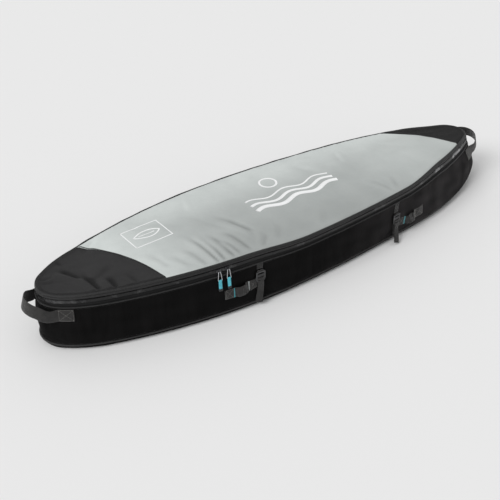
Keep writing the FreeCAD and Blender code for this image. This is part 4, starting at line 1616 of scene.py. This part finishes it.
def make_carry_loop(place, surface):
    """The wide loop at a tip: two halves from the wall to the tip, with their sewn ends."""
    direction = -1 if place == "tail" else 1
    low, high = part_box(place + "_loop_anchors")
    level = (low.z + high.z) / 2
    height = high.z - low.z
    body = place + "_loop"
    tip_t = 0.0 if direction < 0 else 1.0
    thickness = 0.0026
    per_metre = 2 / ROUND_LENGTH
    pivot = np.array([direction * LOOP_PIVOT_X, 0.0, level])
    shift = Vector(settle(pivot, np.array([direction, 0.0]))) - Vector(pivot)
    for number, side in enumerate((-1, 1)):
        sign = side * (1 if direction < 0 else -1)
        wall_path = [tip_t - sign * s * per_metre for s in np.linspace(0.138, 0.088, 9)]
        centres, across = [], []
        for t in wall_path:
            point, face = surface.at(t, level, thickness / 2 + 0.0006)
            centres.append(point)
            across.append((Vector((0, 0, 1)) - face * face.z).normalized())
        for share in np.linspace(0.10, 1, 24):
            turn = LOOP_TILT * float(smooth(share / 0.55))
            angle = math.pi / 2 * (1 - share)
            ahead = LOOP_CENTRE_X - LOOP_PIVOT_X + LOOP_RADIUS * math.cos(angle)
            point = Vector((direction * (LOOP_PIVOT_X + ahead * math.cos(turn)),
                            side * LOOP_RADIUS * math.sin(angle), level + ahead * math.sin(turn)))
            centres.append(point + shift)
            across.append(Vector((-direction * math.sin(turn), 0, math.cos(turn))))
        normals, sides = [], []
        for step, upward in zip([*steps_along(centres)[:-1], Vector((0, -side, 0))], across):
            step = step.normalized()
            wide = (upward - step * upward.dot(step)).normalized()
            normal = step.cross(wide)
            if normal.dot(Vector((direction, side, 0))) < 0:
                normal = -normal
            sides.append(wide)
            normals.append(normal)
        piece = ribbon(f"{body}_half_{number}", centres, sides, normals, height, thickness, STRAP_BLACK)
        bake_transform(piece)
        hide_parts(body if number == 0 else place + "_loop_anchors")
        lower, upper = level - height / 2 + 0.004, level + height / 2 - 0.004
        ends = sorted((wall_path[0] + sign * 0.003 * per_metre, wall_path[-1]))
        threads = box_and_cross(surface, *ends, lower, upper, thickness + 0.0010)
        ride(stitch_mesh(f"{body}_box_{number}", threads, THREAD_GREY, 0.0010), "base", "webbing")


# ---------------------------------------------------------------- zip sliders


SLIDER_X = {"tail": -0.439, "nose": -0.405}


def make_slider(place):
    """Slider with its bridge, the wire loop and the teal tab."""
    body = place + "_slider"
    low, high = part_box(body)
    z = (low.z + high.z) / 2
    at, along, out = local_frame(SLIDER_X[place], "front", z)
    mouth = 1 if place == "tail" else -1
    for part, half, narrow, wide, rounding, thickness, stands, nodes in (
            ("_face", 0.0085, 0.0046, 0.0062, 0.0022, 0.0026, 0.0042, (body,)),
            ("_crown", 0.0065, 0.0034, 0.0044, 0.0018, 0.0022, 0.0060, ())):
        edge = rounded_loop([(-half, -narrow), (half, -wide), (half, wide), (-half, narrow)], rounding)
        plate = extruded_plate(body + part, [[(u * mouth, v) for u, v in edge]], thickness, 0.0008,
                               lambda u, v, n: at(u, z + v, stands + n), SLIDER_PAINT)
        ride(plate, body, "slider_metal", *nodes)
    bridge = [at(0, z - 0.0042 * math.cos(angle), 0.0064 + 0.0068 * math.sin(angle))
              for angle in np.linspace(0, math.pi, 15)]
    ride(wire_tube(body + "_bridge", bridge, 0.0013, SLIDER_PAINT), body, "slider_metal")
    make_pull(place, at, along, out)


# A pull's hinge, how far out it hangs, its wire's length, and how much it leans out at the foot.
PULL_PIVOT_Z = 0.188
PULL_OUT = 0.011
PULL_DROP = 0.034
PULL_SLOPE = 0.10


def make_pull(place, at_slider, along, out):
    """The wire loop hangs from the bridge, and the tab from the loop.
    They lean out at the foot, as the wall below them does."""

    def at(u, z, w):
        return at_slider(u, z, w + PULL_SLOPE * max(0.0, PULL_PIVOT_Z - z))

    wire = place + "_pull_wire"
    corners = [(-0.0036, 0.0), (0.0036, 0.0), (0.0078, -PULL_DROP), (-0.0078, -PULL_DROP)]
    path = [at(u, PULL_PIVOT_Z + v, PULL_OUT) for u, v in rounded_loop(corners, 0.0026, 6)]
    loop = wire_tube(wire + "_loop", path, 0.00125, WIRE, closed=True)
    ride(loop, wire, "bright_wire", wire)
    body = place + "_pull_tab"
    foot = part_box(body)[0].z
    bar = PULL_PIVOT_Z - PULL_DROP
    rising = np.linspace(foot + 0.001, bar - 0.003, 14)
    front = [(z, 0.0012 + 0.0003 * math.sin(60 * (bar - z))) for z in rising]
    turn = [(bar + 0.0022 * math.sin(angle), 0.0022 * math.cos(angle))
            for angle in np.linspace(math.radians(-20), math.radians(200), 12)]
    rear = [(z, -0.0012) for z in rising[::-1]]
    centres = [at(0, z, PULL_OUT + n) for z, n in front + turn + rear]
    normals = []
    for i, step in enumerate(steps_along(centres)):
        normal = step.cross(along).normalized()
        on_front, on_rear = i < len(front), i >= len(centres) - len(rear)
        if on_front and normal.dot(out) < 0 or on_rear and normal.dot(out) > 0:
            normal = -normal
        normals.append(normal)
    tab = ribbon(body + "_tape", centres, [along] * len(centres), normals, 0.0118, 0.0013, STRAP_TEAL)
    ride(tab, body, "teal_tab", body)
    tip = rounded_loop([(-0.0063, foot - 0.0005), (0.0063, foot - 0.0005), (0.0063, foot + 0.008),
                        (-0.0063, foot + 0.008)], 0.0016)
    cap = extruded_plate(body + "_cap", [tip], 0.0046, 0.0009, lambda u, v, n: at(u, v, PULL_OUT + n), LOCK)
    ride(cap, body, "teal_tab")
    stitches = []
    face = PULL_OUT + 0.0021
    for u in (-0.0042, 0.0042):
        for z in np.arange(foot + 0.012, bar - 0.006, 0.0032):
            stitches.append((at(u, z, face), at(u, z + 0.002, face), out))
    for z in (bar - 0.0065, bar - 0.009):
        for u in np.arange(-0.0045, 0.0040, 0.0014):
            stitches.append((at(u, z, face), at(u + 0.0011, z + 0.0006, face), out))
    ride(stitch_mesh(body + "_stitches", stitches, THREAD_TEAL, 0.0005), body, "teal_tab")


# ---------------------------------------------------------------- inside


def make_tie_down(place):
    """A strap across the floor inside, with a plastic buckle in its middle."""
    low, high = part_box(place + "_tie_down")
    x = (low.x + high.x) / 2
    reach = high.y - 0.004
    level = FLOOR_TOP + 0.0042
    centres = []
    for y in np.linspace(-reach, reach, 50):
        rise = 0.0010 * math.sin(y * 43) + 0.006 * math.exp(-((y / 0.035) ** 2))
        centres.append(Vector((x + 0.0015 * math.sin(y * 17), y, level + rise)))
    count = len(centres)
    strap = ribbon(place + "_tie_webbing", centres, [Vector((1, 0, 0))] * count, [Vector((0, 0, 1))] * count,
                   high.x - low.x, 0.0018, STRAP_BLACK)
    ride(strap, "base", "webbing", place + "_tie_down")
    low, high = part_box(place + "_tie_buckle")
    half_x, half_y = (high.x - low.x) / 2, (high.y - low.y) / 2
    edge = rounded_loop([(-half_x, -half_y), (half_x, -half_y), (half_x, half_y), (-half_x, half_y)], 0.007)
    inside = half_x - 0.005
    holes = [rounded_loop([(-inside, y), (inside, y), (inside, y + 0.007), (-inside, y + 0.007)], 0.0015)
             for y in (-half_y + 0.006, half_y - 0.013)]
    top = level + 0.0085
    plate = extruded_plate(place + "_tie_buckle_frame", [edge, *holes], 0.005, 0.0012,
                           lambda u, v, n: Vector((x + u, v, top + n)), LOCK)
    ride(plate, "base", "black_plastic", place + "_tie_buckle")


# ---------------------------------------------------------------- everything

make_stage()
wall = make_wall()
ride(wall, "base", "black_fabric", "tail_wall", "front_wall", "rear_wall", "nose_wall")
surface = Surface(wall)
lid = Lid(make_lid_cloth())
make_seams(lid)
make_print(lid)
make_edges(surface)
make_zip()
make_bottom()
make_lining()
for place in ("tail", "nose"):
    for side in ("front", "rear"):
        make_strap(place, side, surface)
        make_grab(place, side, surface)
    make_carry_loop(place, surface)
    make_slider(place)
    make_tie_down(place)
